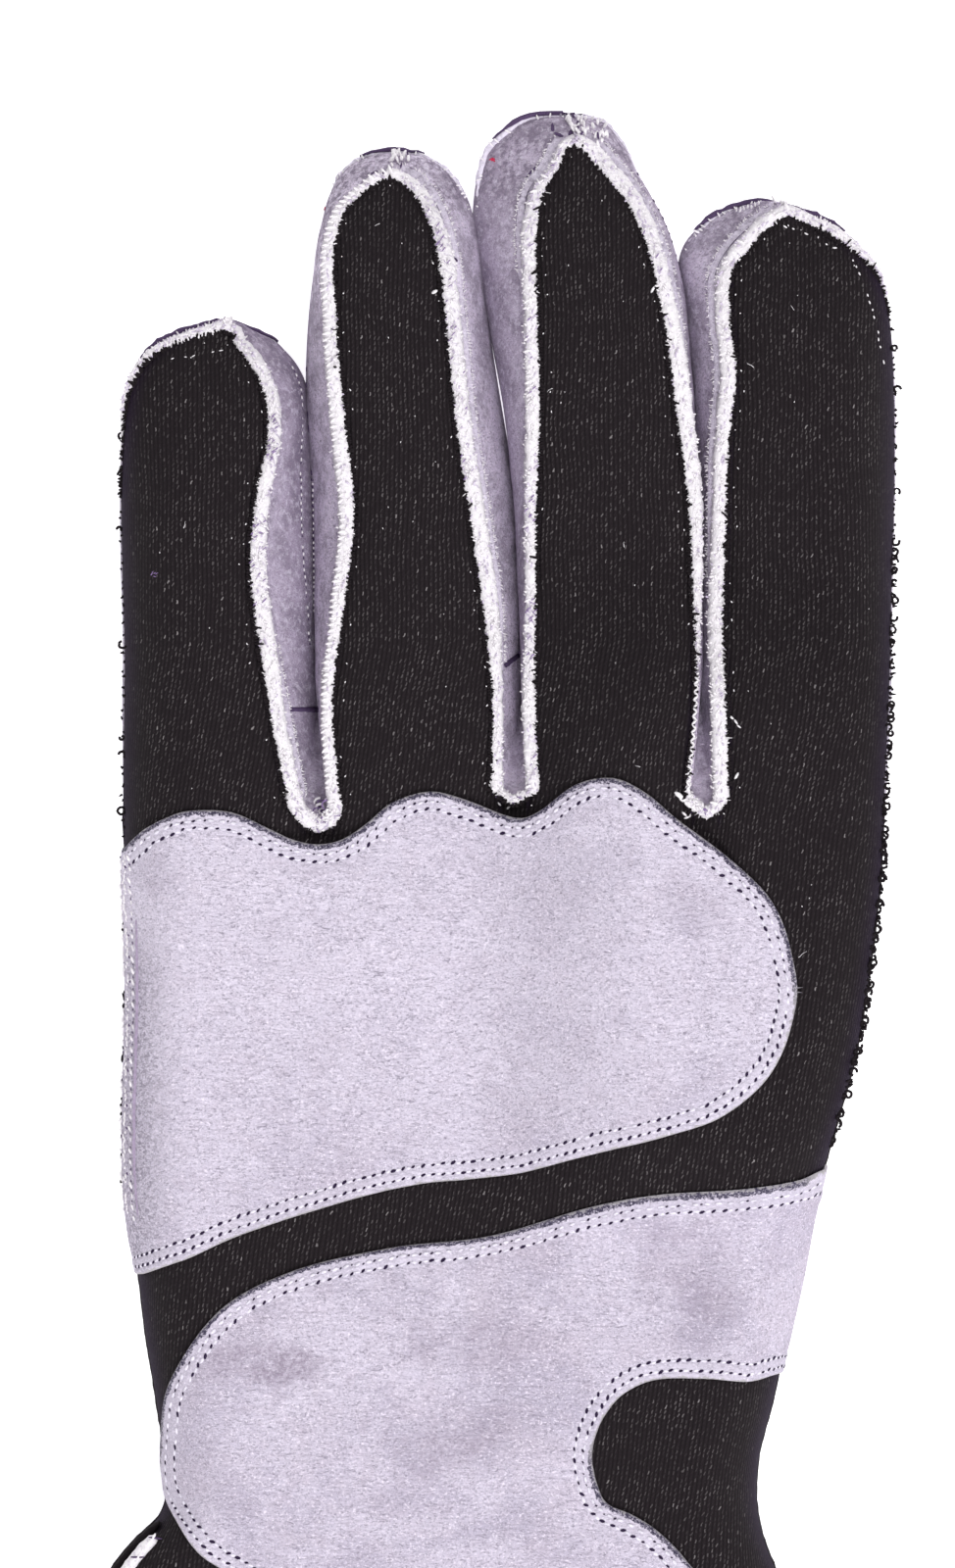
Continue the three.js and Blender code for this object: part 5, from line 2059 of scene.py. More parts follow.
def knit_tufts(wall, rng, pitch):
    """Ends of dark yarn that stick out of the knit over a ridge's inner flank."""
    strands = []
    for s in wall.top.steps(pitch):
        half = wall.half_width(s)
        out, heading = wall.outward(s), wall.top.heading(s)
        if rng.random() < 0.12:
            continue
        root = wall.top(s) - out * (half + 0.35)
        root.z += 1.0
        lean = out + heading * rng.uniform(-0.6, 0.6) + UP * rng.uniform(0.2, 0.6)
        long = 1.7 if rng.random() < 0.08 else 1
        strands.append(strand(rng, root, lean, rng.uniform(0.5, 0.9) * long, 0.25, rng.uniform(0.7, 1.4), 3))
    return strands


def build_ridge_fibres(settings, white, black, ridge, violet):
    rng = random.Random(23)
    shade = plain_material("ridge_shade", settings.ridge_shade)
    for wall in WALLS:
        build_ridge_tufts(wall, rng, settings.tuft_pitch / MM, ridge, shade, violet)
        fibres = ridge_fibres(wall, rng, settings.fibres_per_mm, settings.fibre_length / MM)
        fibres += band_fibres(wall, rng)
        strands_piece("ridge_fibres_" + wall.name, fibres, 0.08, white, "raw_seam")
        strands_piece("knit_tufts_" + wall.name, knit_tufts(wall, rng, KNIT_TUFT_PITCH), 0.24, black, "knit")


LOOP_STEPS = 10


def thread_loop(rng, spot, sign, radius):
    """A curl of yarn that stands out of an outer edge and comes back to it."""
    start = rng.uniform(0, 2 * math.pi)
    turn = rng.choice((-1, 1)) * rng.uniform(4.0, 6.5)
    tilt = rng.uniform(-0.5, 0.5)
    points = []
    for i in range(LOOP_STEPS + 1):
        angle = start + turn * i / LOOP_STEPS
        swell = radius * rng.uniform(0.9, 1.1)
        offset = Vector((math.cos(angle) * swell, math.sin(angle) * swell, math.sin(angle) * swell * tilt))
        points.append((spot + Vector((sign * radius * 0.75, 0, 0)) + offset, 1.0))
    return points


# Where the outer edges fray: the side, its range along the glove, and how much of it curls
FRAYS = table("side start end pitch curl long", [
    ("right", -17, 30, 0.5, 0.7, 1.0),
    ("right", 30, 63, 0.6, 0.5, 0.9),
    ("right", 63, 100, 0.9, 0.1, 0.6),
    ("left", 22, 80, 1.2, 0.1, 0.6),
    ("left", -30, 20, 1.5, 0.35, 0.8),
])


def side_edge(side):
    """The line along which the knit meets the palm on an outer side, from the cuff to the tip."""
    track = hand_left if side == "left" else hand_right
    finger = "little" if side == "left" else "index"
    points = [Vector((track(y), y, SIDE_SEAM_Z + palm_lift(track(y), y))) for y in range(-120, 20, 3)]
    for t in range(TIP - 3):
        x = FINGER_TRACKS[finger]["back_" + side](t)
        y = FINGER_TRACKS[finger]["back_y"](t)
        points.append(Vector((x, y, back_edge_z(finger, side, t))))
    return Line(points)


def build_edge_threads(black):
    rng = random.Random(31)
    strands = []
    for fray in FRAYS:
        sign = 1 if fray["side"] == "right" else -1
        edge = side_edge(fray["side"])
        for s in edge.steps(fray["pitch"]):
            spot = edge(s)
            if not fray["start"] < spot.y < fray["end"]:
                continue
            spot = spot + Vector((sign * rng.uniform(-0.4, -0.05), rng.uniform(-0.4, 0.4), rng.uniform(0, 4)))
            if rng.random() < fray["curl"]:
                strands.append(thread_loop(rng, spot, sign, rng.uniform(0.26, 0.5)))
                continue
            lean = Vector((sign, rng.uniform(-1.1, 1.1), rng.uniform(-0.2, 0.5)))
            long = rng.uniform(0.4, 1.0) * fray["long"]
            strands.append(strand(rng, spot, lean, long, 0.4, rng.uniform(0.9, 1.5), steps=3))
    strands_piece("edge_threads", strands, 0.19, black, "knit")


# The stitched fold beside the knuckle patch, and the raw seam of the flared cuff
SIDE_FOLD = {"from_y": -27.5, "to_y": 21.0, "inset": 0.75, "look_in": 0.5, "lift": 1.2}
SIDE_CREASE = {"from_y": -27.5, "to_y": 13, "inset": 1.35, "look_in": 0.6, "lift": 0.9}
CUFF_SEAM = {"from_y": -121.0, "to_y": -70.3, "inset": 2.1, "look_in": 0, "lift": 0.45}
CUFF_EDGE = {"from_y": -121.0, "to_y": -68.2, "inset": 0.5, "look_in": 0.6, "lift": 0.2}
CUFF_BLOCK = 3.5
FOLD_POINTS = 24
CUFF_POINTS = 40

# Dark marks beside each stitch of the fold: how far ahead, how far aside and how likely
FOLD_SHADOWS = ((0.7, 0.0, 0.9), (0.7, -0.6, 0.5), (0.2, 0.55, 0.4))

# The seams between knit and palm: how far in from the outline they lie
OUTER_SEAM_POINTS = 200
HAND_SEAM_INSET = 0.45
FINGER_SEAM_INSET = 0.5
FINGER_SEAM_POINTS = 60
FINGER_SEAM_END = 6.9


def seam_line(seam, count):
    """A line along the hand's left side, a little way in and above the knit there."""
    points = []
    for i in range(count + 1):
        y = mix(seam["from_y"], seam["to_y"], i / count)
        x = hand_left(y) + seam["inset"]
        points.append(Vector((x, y, back_height(x + seam["look_in"], y) + seam["lift"])))
    return Line(points)


def build_outer_seams(black):
    """The seams between knit and palm, along the hand's two sides and the two outer fingers."""
    for name, side, inward in (("left", hand_left, 1), ("right", hand_right, -1)):
        points = []
        for i in range(OUTER_SEAM_POINTS + 1):
            y = mix(HAND_Y[0] + 0.2, HAND_TOP, i / OUTER_SEAM_POINTS)
            z = SIDE_SEAM_Z + palm_lift(side(y), y)
            points.append(Vector((side(y) + HAND_SEAM_INSET * inward, y, z)))
        bar_of_kind("hand_side", "outer_seam_" + name, Line(points), black)
    for finger, share, inward in (("little", 0, 1), ("index", 1, -1)):
        points = []
        for i in range(FINGER_SEAM_POINTS + 1):
            edge = finger_point(finger, share, FINGER_SEAM_END * i / FINGER_SEAM_POINTS)
            z = (edge.z + PALM_EDGE_RISE + palm_lift(edge.x, edge.y)) / 2
            points.append(Vector((edge.x + FINGER_SEAM_INSET * inward, edge.y, z)))
        bar_of_kind("finger_side", "outer_seam_" + finger, Line(points), black)


def build_side_seams(ridge, dark, thread, black, soft):
    """The stitched fold beside the knuckle patch, and the cuff's side seam with its dark edge."""
    rng = random.Random(41)
    stitches, shadows = Stitches(), Stitches()
    fold = seam_line(SIDE_FOLD, FOLD_POINTS)
    for s in fold.steps(1.5):
        heading, out = fold.heading(s), fold.outward(s)
        jitter = out * rng.uniform(-0.15, 0.15)
        slant = heading + out * rng.uniform(0.3, 0.6)
        stitches.add(fold(s) + jitter, slant, UP, rng.uniform(0.9, 1.25), 0.42, 0.4)
        for ahead, aside, chance in FOLD_SHADOWS:
            if rng.random() < chance:
                spot = fold(s) + heading * (ahead + rng.uniform(-0.2, 0.2)) + out * aside - UP * 0.02
                shadows.add(spot, slant, UP, rng.uniform(0.3, 0.55), 0.24, 0.22)
    # A nearly flush band of painted shade along the crease beside the fold
    bar_of_kind("side_crease", "side_crease", seam_line(SIDE_CREASE, FOLD_POINTS), soft)

    cuff = seam_line(CUFF_SEAM, CUFF_POINTS)
    bar_of_kind("cuff_seam", "cuff_seam", cuff, ridge)
    for s in cuff.steps(CUFF_BLOCK):
        heading, out = cuff.heading(s), cuff.outward(s)
        shadows.add(cuff(s) + UP * 0.95, heading * 0.8 - out, UP, 2.1, 0.3, 0.5)
    for s in cuff.steps(1.1):
        heading, out = cuff.heading(s), cuff.outward(s)
        middle = cuff(s) + UP * 1.05 + out * rng.uniform(-0.3, 0.3)
        stitches.add(middle, heading + out * rng.uniform(-0.2, 0.9), UP, rng.uniform(0.9, 1.4), 0.4, 0.36)
    bar_of_kind("cuff_edge", "cuff_edge", seam_line(CUFF_EDGE, CUFF_POINTS), black)
    build_outer_seams(black)
    stitches.piece("side_seam_stitches", thread, "raw_seam")
    shadows.piece("side_seam_creases", dark, "raw_seam")


# The bare knit of the hand between the knuckle patch and the index side
BARE_KNIT_X = (36, 47)
BARE_KNIT_Y = (-12, 24)
BARE_KNIT_INSET = 2


def knit_spots(rng, count):
    """Random places on the outside of the knit, clear of the patches."""
    spots = []
    while len(spots) < count:
        finger = rng.choice(FINGER_NAMES)
        share, t = rng.uniform(0.1, 0.9), rng.uniform(-3, 8)
        if t > 0:
            spots.append(finger_point(finger, share, t))
        elif rng.random() < 0.3:
            x, y = rng.uniform(*BARE_KNIT_X), rng.uniform(*BARE_KNIT_Y)
            if x < hand_right(y) - BARE_KNIT_INSET:
                spots.append(Vector((x, y, back_height(x, y))))
    return spots


OVER_ALL = 60


def heights_of(names):
    """Reads the height of finished pieces from above, in table millimetres."""
    trees = []
    for name in names:
        mesh = bpy.data.objects[name].data
        corners = [vert.co.copy() for vert in mesh.vertices]
        trees.append(BVHTree.FromPolygons(corners, [tuple(face.vertices) for face in mesh.polygons]))

    def spot(x, y, lift=0.1):
        start = TO_FRAME @ Vector((x, y, OVER_ALL))
        hits = [tree.ray_cast(start, DOWN)[0] for tree in trees]
        tops = [hit.z / MM for hit in hits if hit]
        return Vector((x, y, max(tops) + lift)) if tops else None

    return spot


# Rows of tacking on the knit beside the tips of the index and little fingers
INDEX_TACKS = [
    (37.4, 106.0), (39.9, 105.2), (43.4, 103.4), (46.0, 101.9), (47.9, 98.3), (49.6, 92.4), (50.6, 87.8),
]
LITTLE_TACKS = [(-45.0, 88.2), (-41.9, 88.6), (-38.6, 89.3)]
TACKS = table("corners pitch wide", [(INDEX_TACKS, 1.0, 0.24), (LITTLE_TACKS, 0.9, 0.16)])

# Combs of short threads across the seams at two fingertips: from where to where
COMBS = [((-45.8, 90.3), (-38.7, 92.0)), ((30.9, 108.2), (34.4, 109.3))]

# Strokes of thread where the ridges end
STROKES = table("x y turn long wide kind", [
    (22.9, 29.5, -35, 1.5, 0.7, "white"),
    (23.5, 28.9, -30, 1.7, 0.8, "white"),
    (24.1, 28.3, -40, 1.4, 0.7, "white"),
    (24.5, 27.2, -42, 1.9, 0.3, "dark"),
    (23.6, 27.0, -40, 0.9, 0.35, "white"),
    (23.9, 26.5, 20, 0.9, 0.35, "white"),
    (24.4, 26.8, 60, 0.7, 0.3, "white"),
    (29.9, 39.9, -35, 0.9, 0.35, "white"),
    (30.5, 39.3, -55, 0.9, 0.3, "white"),
    (30.9, 38.7, -40, 0.8, 0.25, "white"),
    (30.6, 32.1, 60, 1.1, 0.4, "white"),
    (-1.6, 29.3, -30, 1.2, 0.25, "dark"),
    (-0.4, 28.7, -28, 1.3, 0.25, "dark"),
    (0.6, 28.2, -20, 1.0, 0.2, "dark"),
    (-1.1, 28.3, -50, 0.7, 0.3, "white"),
    (0.1, 27.8, 40, 0.6, 0.3, "white"),
    (-25.4, 28.1, -45, 1.2, 0.3, "dark"),
    (-24.9, 27.4, 10, 0.9, 0.35, "dark"),
    (-24.2, 27.6, 60, 0.7, 0.3, "dark"),
    (6.1, 119.3, 95, 1.7, 0.5, "dark"),
    (7.0, 118.4, -25, 1.7, 0.5, "dark"),
    (8.6, 118.7, 60, 1.4, 0.8, "dark"),
    (3.2, 113.3, 50, 2.4, 0.5, "dark"),
    (-17.8, 113.2, 15, 1.3, 0.7, "dark"),
    (-16.6, 113.4, 70, 0.8, 0.4, "dark"),
    (11.8, 121.3, -30, 1.6, 0.3, "white"),
    (12.7, 120.7, -70, 1.2, 0.25, "dark"),
    (11.0, 121.6, 10, 1.1, 0.3, "white"),
    (-9.8, 97.1, 30, 1.0, 0.5, "white"),
    (-7.0, 101.5, -40, 0.9, 0.4, "dark"),
    (19.5, 97.4, 60, 1.1, 0.4, "white"),
    (20.1, 97.9, 0, 0.8, 0.35, "white"),
])


def build_crotch_threads(thread, dark, violet):
    """Tacking, strokes of thread where the ridges end and a zigzag where one of them is thin."""
    rng = random.Random(71)
    pieces = ["ridge_" + name for name in GAP_NAMES] + ["side_wall_" + name for name in GAP_NAMES]
    place = heights_of(["knit_back", *pieces])
    white, shade = Stitches(), Stitches()
    for tack in TACKS:
        line = Line([Vector((x, y, 0)) for x, y in tack["corners"]])
        for s in line.steps(tack["pitch"]):
            spot = line(s)
            settled = place(spot.x + rng.uniform(-0.12, 0.12), spot.y, 0.05)
            if settled is None or rng.random() < 0.35:
                continue
            slant = line.heading(s) + line.outward(s) * rng.uniform(-0.3, 0.5)
            white.add(settled, slant, UP, rng.uniform(0.3, 0.7), tack["wide"], 0.18)
    for start, end in COMBS:
        line = Line([Vector((*start, 0)), Vector((*end, 0))])
        for s in line.steps(0.5):
            spot = line(s)
            settled = place(spot.x, spot.y + rng.uniform(-0.15, 0.15), 0.12)
            if settled is None or rng.random() < 0.12:
                continue
            slant = Vector((rng.uniform(-0.45, 0.15), 1, 0))
            white.add(settled, slant, UP, rng.uniform(0.8, 1.3), rng.uniform(0.22, 0.32), 0.3)
    for stroke in STROKES:
        settled = place(stroke["x"], stroke["y"], 0.15)
        if settled is None:
            continue
        turn = math.radians(stroke["turn"])
        target = white if stroke["kind"] == "white" else shade
        slant = Vector((math.cos(turn), math.sin(turn), 0))
        target.add(settled, slant, UP, stroke["long"], stroke["wide"], 0.4)
    wall = wall_beside("middle", "right")
    ends = [wall.length_at("middle", "right", t) for t in (1.3, 0.0)]
    for i, s in enumerate(wall.top.steps(0.55, min(ends), max(ends))):
        out, heading = wall.outward(s), wall.top.heading(s)
        slant = heading + out * (1 if i % 2 else -1) * rng.uniform(0.7, 1.3)
        white.add(wall.top(s) + UP * 1.2, slant, UP, 0.95, 0.34, 0.34)
    loops = []
    for _ in range(9):
        spot = place(-24.2 + rng.uniform(-1.4, 1.2), 26.9 + rng.uniform(-1.2, 1.6), 0.1)
        if spot:
            loops.append(thread_loop(rng, spot, 0, rng.uniform(0.35, 0.7)))
    white.piece("crotch_threads", thread, "raw_seam")
    shade.piece("crotch_shadows", dark, "raw_seam")
    strands_piece("crotch_curls", loops[:5], 0.2, thread, "raw_seam")
    strands_piece("crotch_violet_curls", loops[5:], 0.1, violet, "raw_seam")


def build_lint(white, violet):
    """Specks and short curved fibres of light lint on the knit."""
    rng = random.Random(53)
    specks = Stitches(5, 3)
    for spot in knit_spots(rng, 36):
        heading = Vector((rng.uniform(-0.5, 0.5), 1, 0))
        specks.add(spot + UP * 0.12, heading, UP, rng.uniform(0.15, 0.35), 0.14, 0.12)
    for wall in WALLS:
        for s in wall.top.steps(2.6):
            if wall.half_width(s) < 0.5 or rng.random() < 0.4:
                continue
            inward = -wall.outward(s) * (wall.half_width(s) + rng.uniform(0.5, 1.5))
            spot = wall.top(s) + inward + UP * rng.uniform(1.0, 1.5)
            heading = Vector((rng.uniform(-1, 1), 1, 0))
            specks.add(spot, heading, UP, rng.uniform(0.2, 0.5), 0.2, 0.2)
    specks.piece("lint_specks", white, "knit")
    fibres = [
        strand(rng, spot + UP * 0.25, Vector((rng.uniform(-1, 1), rng.uniform(-1, 1), 0)),
               rng.uniform(0.6, 1.6), 0.4, steps=5)
        for spot in knit_spots(rng, 10)
    ]
    strands_piece("lint_fibres", fibres, 0.045, white, "knit")
    knot = finger_point("little", 0.25, 2.9)
    curls = [
        strand(rng, knot + Vector((rng.uniform(-0.5, 0.5), rng.uniform(-0.2, 0.2), 0.2)),
               Vector((1, rng.uniform(-0.6, 0.6), 0)), 0.9, 0.6)
        for _ in range(5)
    ]
    strands_piece("violet_lint", curls, 0.07, violet, "knit")


def build_side_rim(thread, dark, black):
    """Ragged bits of thread, knit and lining along the outline of the knuckle patch's outer side."""
    rng = random.Random(97)
    place = heights_of(["knuckle_patch_suede"])
    bits, shadows, tufts = Stitches(), Stitches(), Stitches(5, 3)
    y = SIDE_FOLD["from_y"] + 0.5
    while y < SIDE_FOLD["to_y"]:
        y += rng.uniform(0.3, 0.6)
        x = hand_left(y) - 1.6
        settled = place(x, y, 0)
        while settled is None and x < hand_left(y) + 2:
            x += 0.08
            settled = place(x, y, 0)
        if settled is None:
            continue
        slant = Vector((rng.uniform(-0.5, 0.5), 1, rng.uniform(-0.3, 0.3)))
        frayed = smooth(noise.noise(Vector((y / 3.5, 0, 0))), -0.05, 0.25)
        spot = settled + Vector((rng.uniform(-0.15, 0.15), 0, rng.uniform(-0.5, 0)))
        if rng.random() < 0.6 * frayed:
            tufts.add(spot, slant, UP, rng.uniform(0.5, 1.6), rng.uniform(0.35, 0.6), 0.6)
        elif rng.random() < 0.15:
            shadows.add(spot, slant, UP, rng.uniform(0.3, 0.7), 0.25, 0.3)
        else:
            bits.add(spot, slant, UP, rng.uniform(0.4, 1.2), rng.uniform(0.25, 0.5), 0.45)
        inner = place(x + rng.uniform(0.25, 0.6), y, 0.05)
        if inner and rng.random() < 0.8:
            bits.add(inner, slant, UP, rng.uniform(0.4, 0.9), rng.uniform(0.25, 0.4), 0.3)
    bits.piece("side_rim_threads", thread, "raw_seam")
    shadows.piece("side_rim_shadows", dark, "raw_seam")
    tufts.piece("side_rim_knit", black, "knit")


# Stage

PHOTO_CENTRE = Vector((-4.03, 31.0, 8.0))
PHOTO_LENGTH = 211.2
FLOOR_HALF = 3.0
FLOOR_DROP = 0.0002


def build_stage(settings):
    bm = bmesh.new()
    bmesh.ops.create_grid(bm, x_segments=1, y_segments=1, size=FLOOR_HALF)
    mesh = bpy.data.meshes.new("floor")
    bm.to_mesh(mesh)
    bm.free()
    n = Nodes("floor_paper", settings.floor, 0.9, Emission_Strength=settings.floor_glow)
    mesh.materials.append(n.finish())
    floor = in_scene("floor", mesh)
    floor.location.z = -FLOOR_DROP

    world = bpy.data.worlds.new("studio")
    world.use_nodes = True
    background = world.node_tree.nodes["Background"]
    background.inputs["Color"].default_value = (1, 1, 1, 1)
    background.inputs["Strength"].default_value = settings.ambient
    bpy.context.scene.world = world
    bpy.context.scene.view_settings.view_transform = "Standard"

    centre = TO_FRAME @ PHOTO_CENTRE
    for name, offset, size, power in (
        ("key", Vector((0.1, -0.9, 1.0)), 0.6, settings.key),
        ("fill", Vector((0.6, 0.5, 1.2)), 1.0, settings.fill),
    ):
        light = bpy.data.lights.new(name, "AREA")
        light.shape = "DISK"
        light.size = size
        light.energy = power
        lamp = in_scene(name, light)
        lamp.location = centre + offset
        lamp.rotation_euler = (-offset).to_track_quat("-Z", "Y").to_euler()

    camera = bpy.data.cameras.new("camera")
    camera.sensor_width = 36
    camera.lens = camera.sensor_width * settings.camera_height / (PHOTO_LENGTH * MM)
    camera.clip_end = 20
    camera.dof.use_dof = False
    eye = in_scene("camera", camera)
    eye.location = centre + UP * settings.camera_height
    bpy.context.scene.camera = eye


# Settings

def colour(name, description, default):
    return bpy.props.FloatVectorProperty(
        name=name, description=description, default=default, size=3, subtype="COLOR", min=0, max=1
    )


def size(name, description, default):
    return bpy.props.FloatProperty(
        name=name, description=description, default=default * MM, unit="LENGTH", precision=5, min=0
    )


class GloveKnitSettings(bpy.types.PropertyGroup):
    rib_pitch: size("Rib pitch", "Distance from one rib of the knit to the next", 0.6)
    stitch_pitch: size("Stitch pitch", "Length of one loop along a rib", 0.7)
    yarn: colour("Yarn", "Colour of the ribs", (0.0165, 0.0125, 0.015))
    shade: colour("Shade", "Colour between the ribs", (0.0108, 0.0082, 0.0098))
    # Rolled is painted shade on the knit where it rolls away at a side or dips beside a finger's ridges
    rolled: colour("Rolled", "Colour where the knit rolls away at a side", (0.0185, 0.0108, 0.0255))
    fleck: colour("Fleck", "Colour of the pale dashes on the ribs", (0.25, 0.23, 0.235))


class GloveSuedeSettings(bpy.types.PropertyGroup):
    # A soiled edge here is a cut edge that faces the fingertips, darkened by painted shade; a clean one faces
    # the cuff
    first_row: size("First row", "Distance of the outer row of stitches from a clean cut edge", 1.05)
    row_shift: size("Row shift", "How much farther in it runs along a soiled edge", 0.3)
    second_row: size("Second row", "Distance of the inner row of stitches from the cut edge", 2.4)
    stitch_pitch: size("Stitch pitch", "Distance from one needle hole to the next", 1.35)
    tipward_pitch: size("Soiled pitch", "The same along a soiled edge", 1.55)
    suede: colour("Suede", "Main colour of the patches and the palm", (0.72, 0.66, 0.79))
    suede_warm: colour("Warm suede", "Pinker tone in the nap", (0.56, 0.485, 0.585))
    suede_dark: colour("Dark suede", "Greyer tone in the nap", (0.49, 0.44, 0.56))
    margin: colour("Margin", "Pressed suede outside the stitching", (0.72, 0.67, 0.79))
    # The clean cut is painted light and the soiled cut is painted shade: the cut edge's colour where it faces
    # the cuff and the key light, and where it faces the fingertips
    cut_lit: colour("Clean cut", "Cut edge where it is clean", (0.5, 0.47, 0.5))
    cut_shaded: colour("Soiled cut", "Cut edge where it is soiled", (0.06, 0.052, 0.09))
    thread: colour("Thread", "Stitches on the patches", (0.83, 0.79, 0.9))
    hole: colour("Hole", "Needle holes between the stitches", (0.03, 0.018, 0.05))


class GloveSeamSettings(bpy.types.PropertyGroup):
    hatch_pitch: size("Hatch pitch", "Distance between the slanted stitches on a ridge", 1.25)
    whip_pitch: size("Whip pitch", "Distance between the loops over a left-hand ridge", 0.84)
    tuft_pitch: size("Tuft pitch", "Distance between the matted tufts along a ridge", 0.14)
    fibre_length: size("Fibre length", "Longest common fibre on a ridge seam", 0.5)
    fibres_per_mm: bpy.props.FloatProperty(
        name="Fibres", description="Fibres on each flank for each millimetre", default=1.3, min=0
    )
    wall: colour("Wall", "Suede between the fingers", (0.76, 0.67, 0.84))
    wall_warm: colour("Warm wall", "Pinker tone between the fingers", (0.66, 0.56, 0.7))
    # Dark wall also gives the painted shade towards the fold, besides the walls' grain and clouds
    wall_dark: colour("Dark wall", "Soiled suede at the fold", (0.36, 0.295, 0.41))
    wall_light: colour("Light wall", "Margin of the wall under its ridge", (0.8, 0.74, 0.87))
    crease: colour("Crease", "Shade in the seams' creases", (0.1, 0.065, 0.14))
    ridge: colour("Ridge", "Raw edge of the seams", (0.97, 0.93, 0.97))
    ridge_shade: colour("Ridge shade", "Shade between the ridge's fibres", (0.68, 0.6, 0.75))
    hatch_colour: colour("Hatch", "Dark lines beside the slanted stitches", (0.3, 0.2, 0.42))
    red: colour("Red thread", "Two stray ends of red thread", (0.5, 0.03, 0.08))


class GloveStageSettings(bpy.types.PropertyGroup):
    floor: colour("Floor", "Colour of the floor", (0.95, 0.95, 0.95))
    floor_glow: bpy.props.FloatProperty(
        name="Floor glow", description="Light from the floor, as from a light table", default=0.62, min=0
    )
    ambient: bpy.props.FloatProperty(name="Ambient", description="Light from all round", default=0.54, min=0)
    key: bpy.props.FloatProperty(
        name="Key", description="Power of the main light", default=12, min=0, unit="POWER"
    )
    fill: bpy.props.FloatProperty(
        name="Fill", description="Power of the second light", default=7.5, min=0, unit="POWER"
    )
    camera_height: bpy.props.FloatProperty(
        name="Camera height", description="Height of the camera over the glove", default=2.0, unit="LENGTH"
    )


SHARED = {}


def shared(name, make):
    """A material that several pieces use is made once."""
    if name not in SHARED:
        SHARED[name] = make()
    return SHARED[name]


def seam_thread(settings):
    return shared("thread", lambda: plain_material("seam_thread", settings.ridge))


def seam_ridge(settings):
    return shared("ridge", lambda: ridge_material(settings))


def seam_crease(settings):
    return shared("crease", lambda: plain_material("seam_crease", settings.crease))


def black_fibre(context):
    return shared("black", lambda: plain_material("black_fibre", context.scene.glove_knit.yarn))


# Operators

class GLOVE_OT_knit_back(bpy.types.Operator):
    """Knit the back of the hand, the cuff and the four fingers"""

    bl_idname = "glove.knit_back"
    bl_label = "Knit back"

    def execute(self, context):
        build_back_panel(context.scene.glove_knit)
        return {"FINISHED"}


class GLOVE_OT_palm(bpy.types.Operator):
    """Cut the suede palm with its four finger fronts"""

    bl_idname = "glove.palm"
    bl_label = "Suede palm"

    def execute(self, context):
        build_palm(shared("palm", lambda: palm_material(context.scene.glove_suede)))
        return {"FINISHED"}


class GLOVE_OT_side_walls(bpy.types.Operator):
    """Sew the side walls between the fingers"""

    bl_idname = "glove.side_walls"
    bl_label = "Side walls"

    def execute(self, context):
        material = wall_material(context.scene.glove_seams)
        for wall in WALLS:
            build_wall(wall, material)
        return {"FINISHED"}


class GLOVE_OT_ridge_seams(bpy.types.Operator):
    """Raise the raw seams along the tops of the side walls and round the fingertips"""

    bl_idname = "glove.ridge_seams"
    bl_label = "Ridge seams"

    def execute(self, context):
        settings = context.scene.glove_seams
        ridge, dark = seam_ridge(settings), seam_crease(settings)
        for wall in WALLS:
            build_ridge(wall, ridge)
        build_tip_seams(plain_material("seam_margin", settings.wall_light), dark)
        # The soft crease colour is painted shade along the crease beside the fold
        soft = plain_material("painted_crease_shade", tinted(settings.wall_dark, 1.15))
        build_side_seams(ridge, dark, seam_thread(settings), black_fibre(context), soft)
        return {"FINISHED"}


class GLOVE_OT_seam_stitches(bpy.types.Operator):
    """Sew the ridges and the walls"""

    bl_idname = "glove.seam_stitches"
    bl_label = "Seam stitches"

    def execute(self, context):
        settings = context.scene.glove_seams
        thread, dark = seam_thread(settings), seam_crease(settings)
        build_whip_stitches(settings, thread, dark)
        build_wall_stitches(thread, dark, plain_material("red_thread", settings.red))
        return {"FINISHED"}


class GLOVE_OT_patches(bpy.types.Operator):
    """Lay the knuckle patch and the wrist patch on the knit"""

    bl_idname = "glove.patches"
    bl_label = "Suede patches"

    def execute(self, context):
        material = patch_material(context.scene.glove_suede)
        build_knuckle_patch(material)
        build_wrist_patch(material)
        return {"FINISHED"}


class GLOVE_OT_patch_stitches(bpy.types.Operator):
    """Stitch the patches down with two rows each"""

    bl_idname = "glove.patch_stitches"
    bl_label = "Patch stitching"

    def execute(self, context):
        settings = context.scene.glove_suede
        thread = plain_material("pale_thread", settings.thread)
        hole = plain_material("needle_hole", settings.hole)
        build_patch_stitches(settings, thread, hole)
        return {"FINISHED"}


class GLOVE_OT_thumb(bpy.types.Operator):
    """Tuck the thumb under the palm"""

    bl_idname = "glove.thumb"
    bl_label = "Thumb"

    def execute(self, context):
        knit = shared("knit", lambda: knit_material(context.scene.glove_knit))
        leather = shared("palm", lambda: palm_material(context.scene.glove_suede))
        build_thumb(knit, leather)
        return {"FINISHED"}


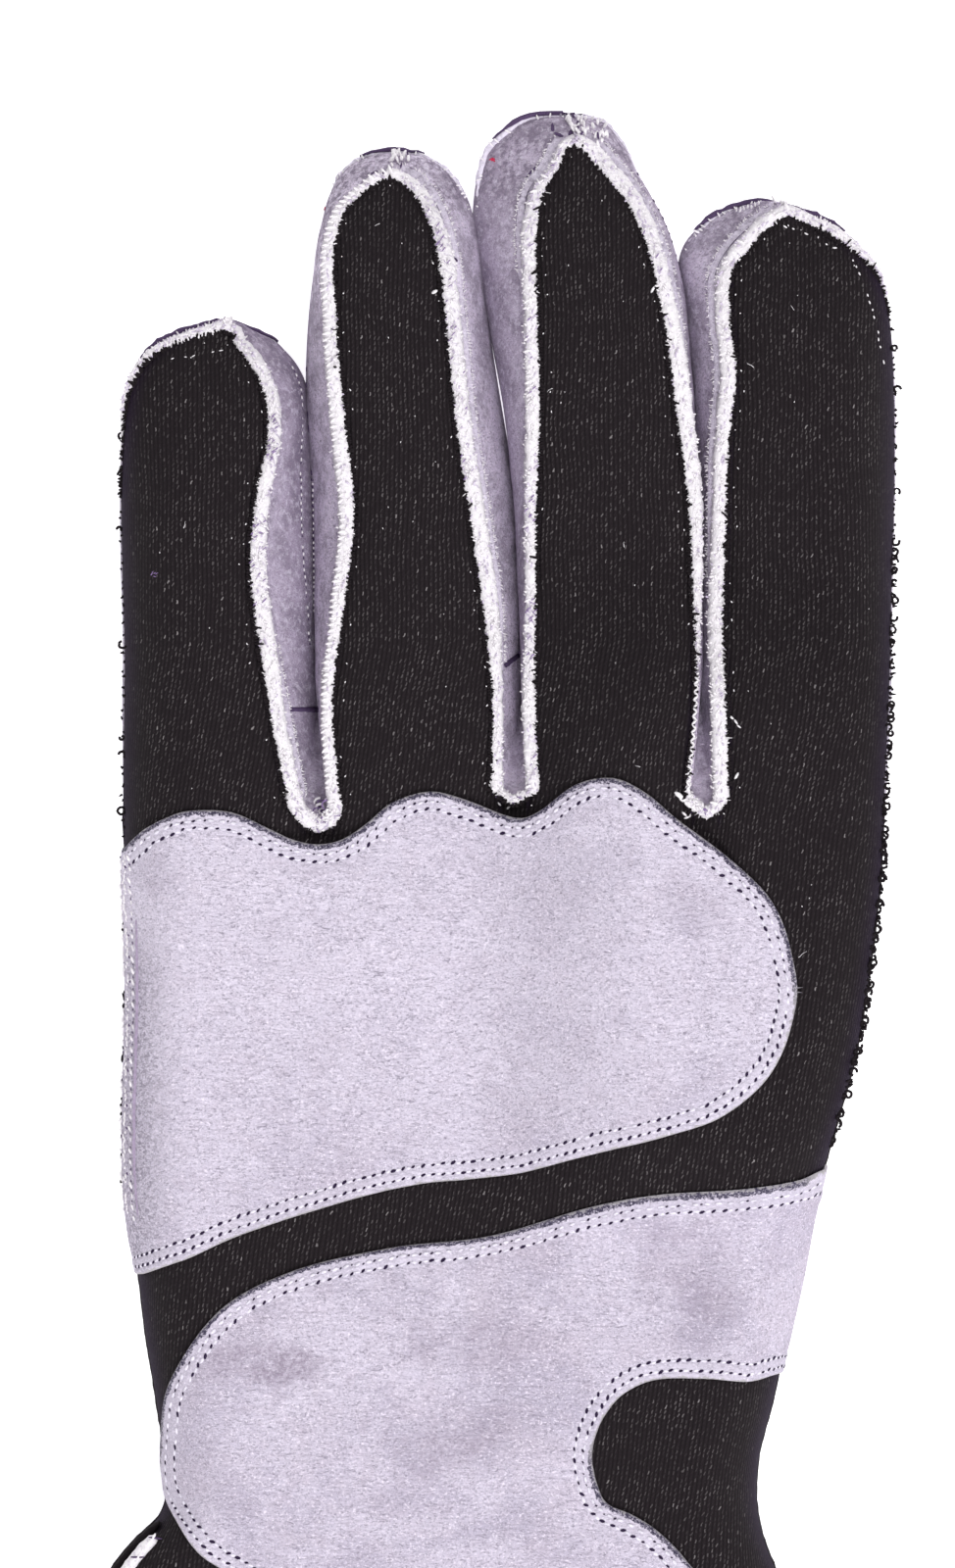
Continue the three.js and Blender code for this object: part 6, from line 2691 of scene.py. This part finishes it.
class GLOVE_OT_loose_threads(bpy.types.Operator):
    """Fray the ridge seams and the outer edges, and leave some lint on the knit"""

    bl_idname = "glove.loose_threads"
    bl_label = "Loose threads"

    def execute(self, context):
        settings = context.scene.glove_seams
        white, black = seam_thread(settings), black_fibre(context)
        violet = plain_material("violet_lint", settings.hatch_colour)
        build_ridge_fibres(settings, white, black, seam_ridge(settings), violet)
        build_edge_threads(black)
        build_crotch_threads(white, seam_crease(settings), violet)
        build_lint(white, violet)
        build_side_rim(seam_ridge(settings), seam_crease(settings), black)
        return {"FINISHED"}


class GLOVE_OT_stage(bpy.types.Operator):
    """Set up the pale floor, the soft lights and the camera above the glove"""

    bl_idname = "glove.stage"
    bl_label = "Stage"

    def execute(self, context):
        build_stage(context.scene.glove_stage)
        return {"FINISHED"}


OPERATORS = [
    GLOVE_OT_knit_back,
    GLOVE_OT_palm,
    GLOVE_OT_side_walls,
    GLOVE_OT_ridge_seams,
    GLOVE_OT_seam_stitches,
    GLOVE_OT_patches,
    GLOVE_OT_patch_stitches,
    GLOVE_OT_thumb,
    GLOVE_OT_loose_threads,
    GLOVE_OT_stage,
]
SETTINGS = {
    "glove_knit": GloveKnitSettings,
    "glove_suede": GloveSuedeSettings,
    "glove_seams": GloveSeamSettings,
    "glove_stage": GloveStageSettings,
}


class GLOVE_PT_panel(bpy.types.Panel):
    """Settings and steps of the glove"""

    bl_label = "Racing glove"
    bl_idname = "GLOVE_PT_panel"
    bl_space_type = "VIEW_3D"
    bl_region_type = "UI"
    bl_category = "Glove"

    def draw(self, context):
        for group, kind in SETTINGS.items():
            box = self.layout.box()
            for name in kind.__annotations__:
                box.prop(getattr(context.scene, group), name)
        for operator in OPERATORS:
            self.layout.operator(operator.bl_idname)


CLASSES = [*SETTINGS.values(), *OPERATORS, GLOVE_PT_panel]


def register():
    for kind in CLASSES:
        bpy.utils.register_class(kind)
    for group, kind in SETTINGS.items():
        setattr(bpy.types.Scene, group, bpy.props.PointerProperty(type=kind))


def unregister():
    for group in SETTINGS:
        delattr(bpy.types.Scene, group)
    for kind in reversed(CLASSES):
        bpy.utils.unregister_class(kind)


# Keeps the roughness of the raw edges the same in each run
NOISE_SEED = 1


def main():
    noise.seed_set(NOISE_SEED)
    register()
    for operator in OPERATORS:
        group, name = operator.bl_idname.split(".")
        getattr(getattr(bpy.ops, group), name)()


if __name__ == "__main__":
    main()
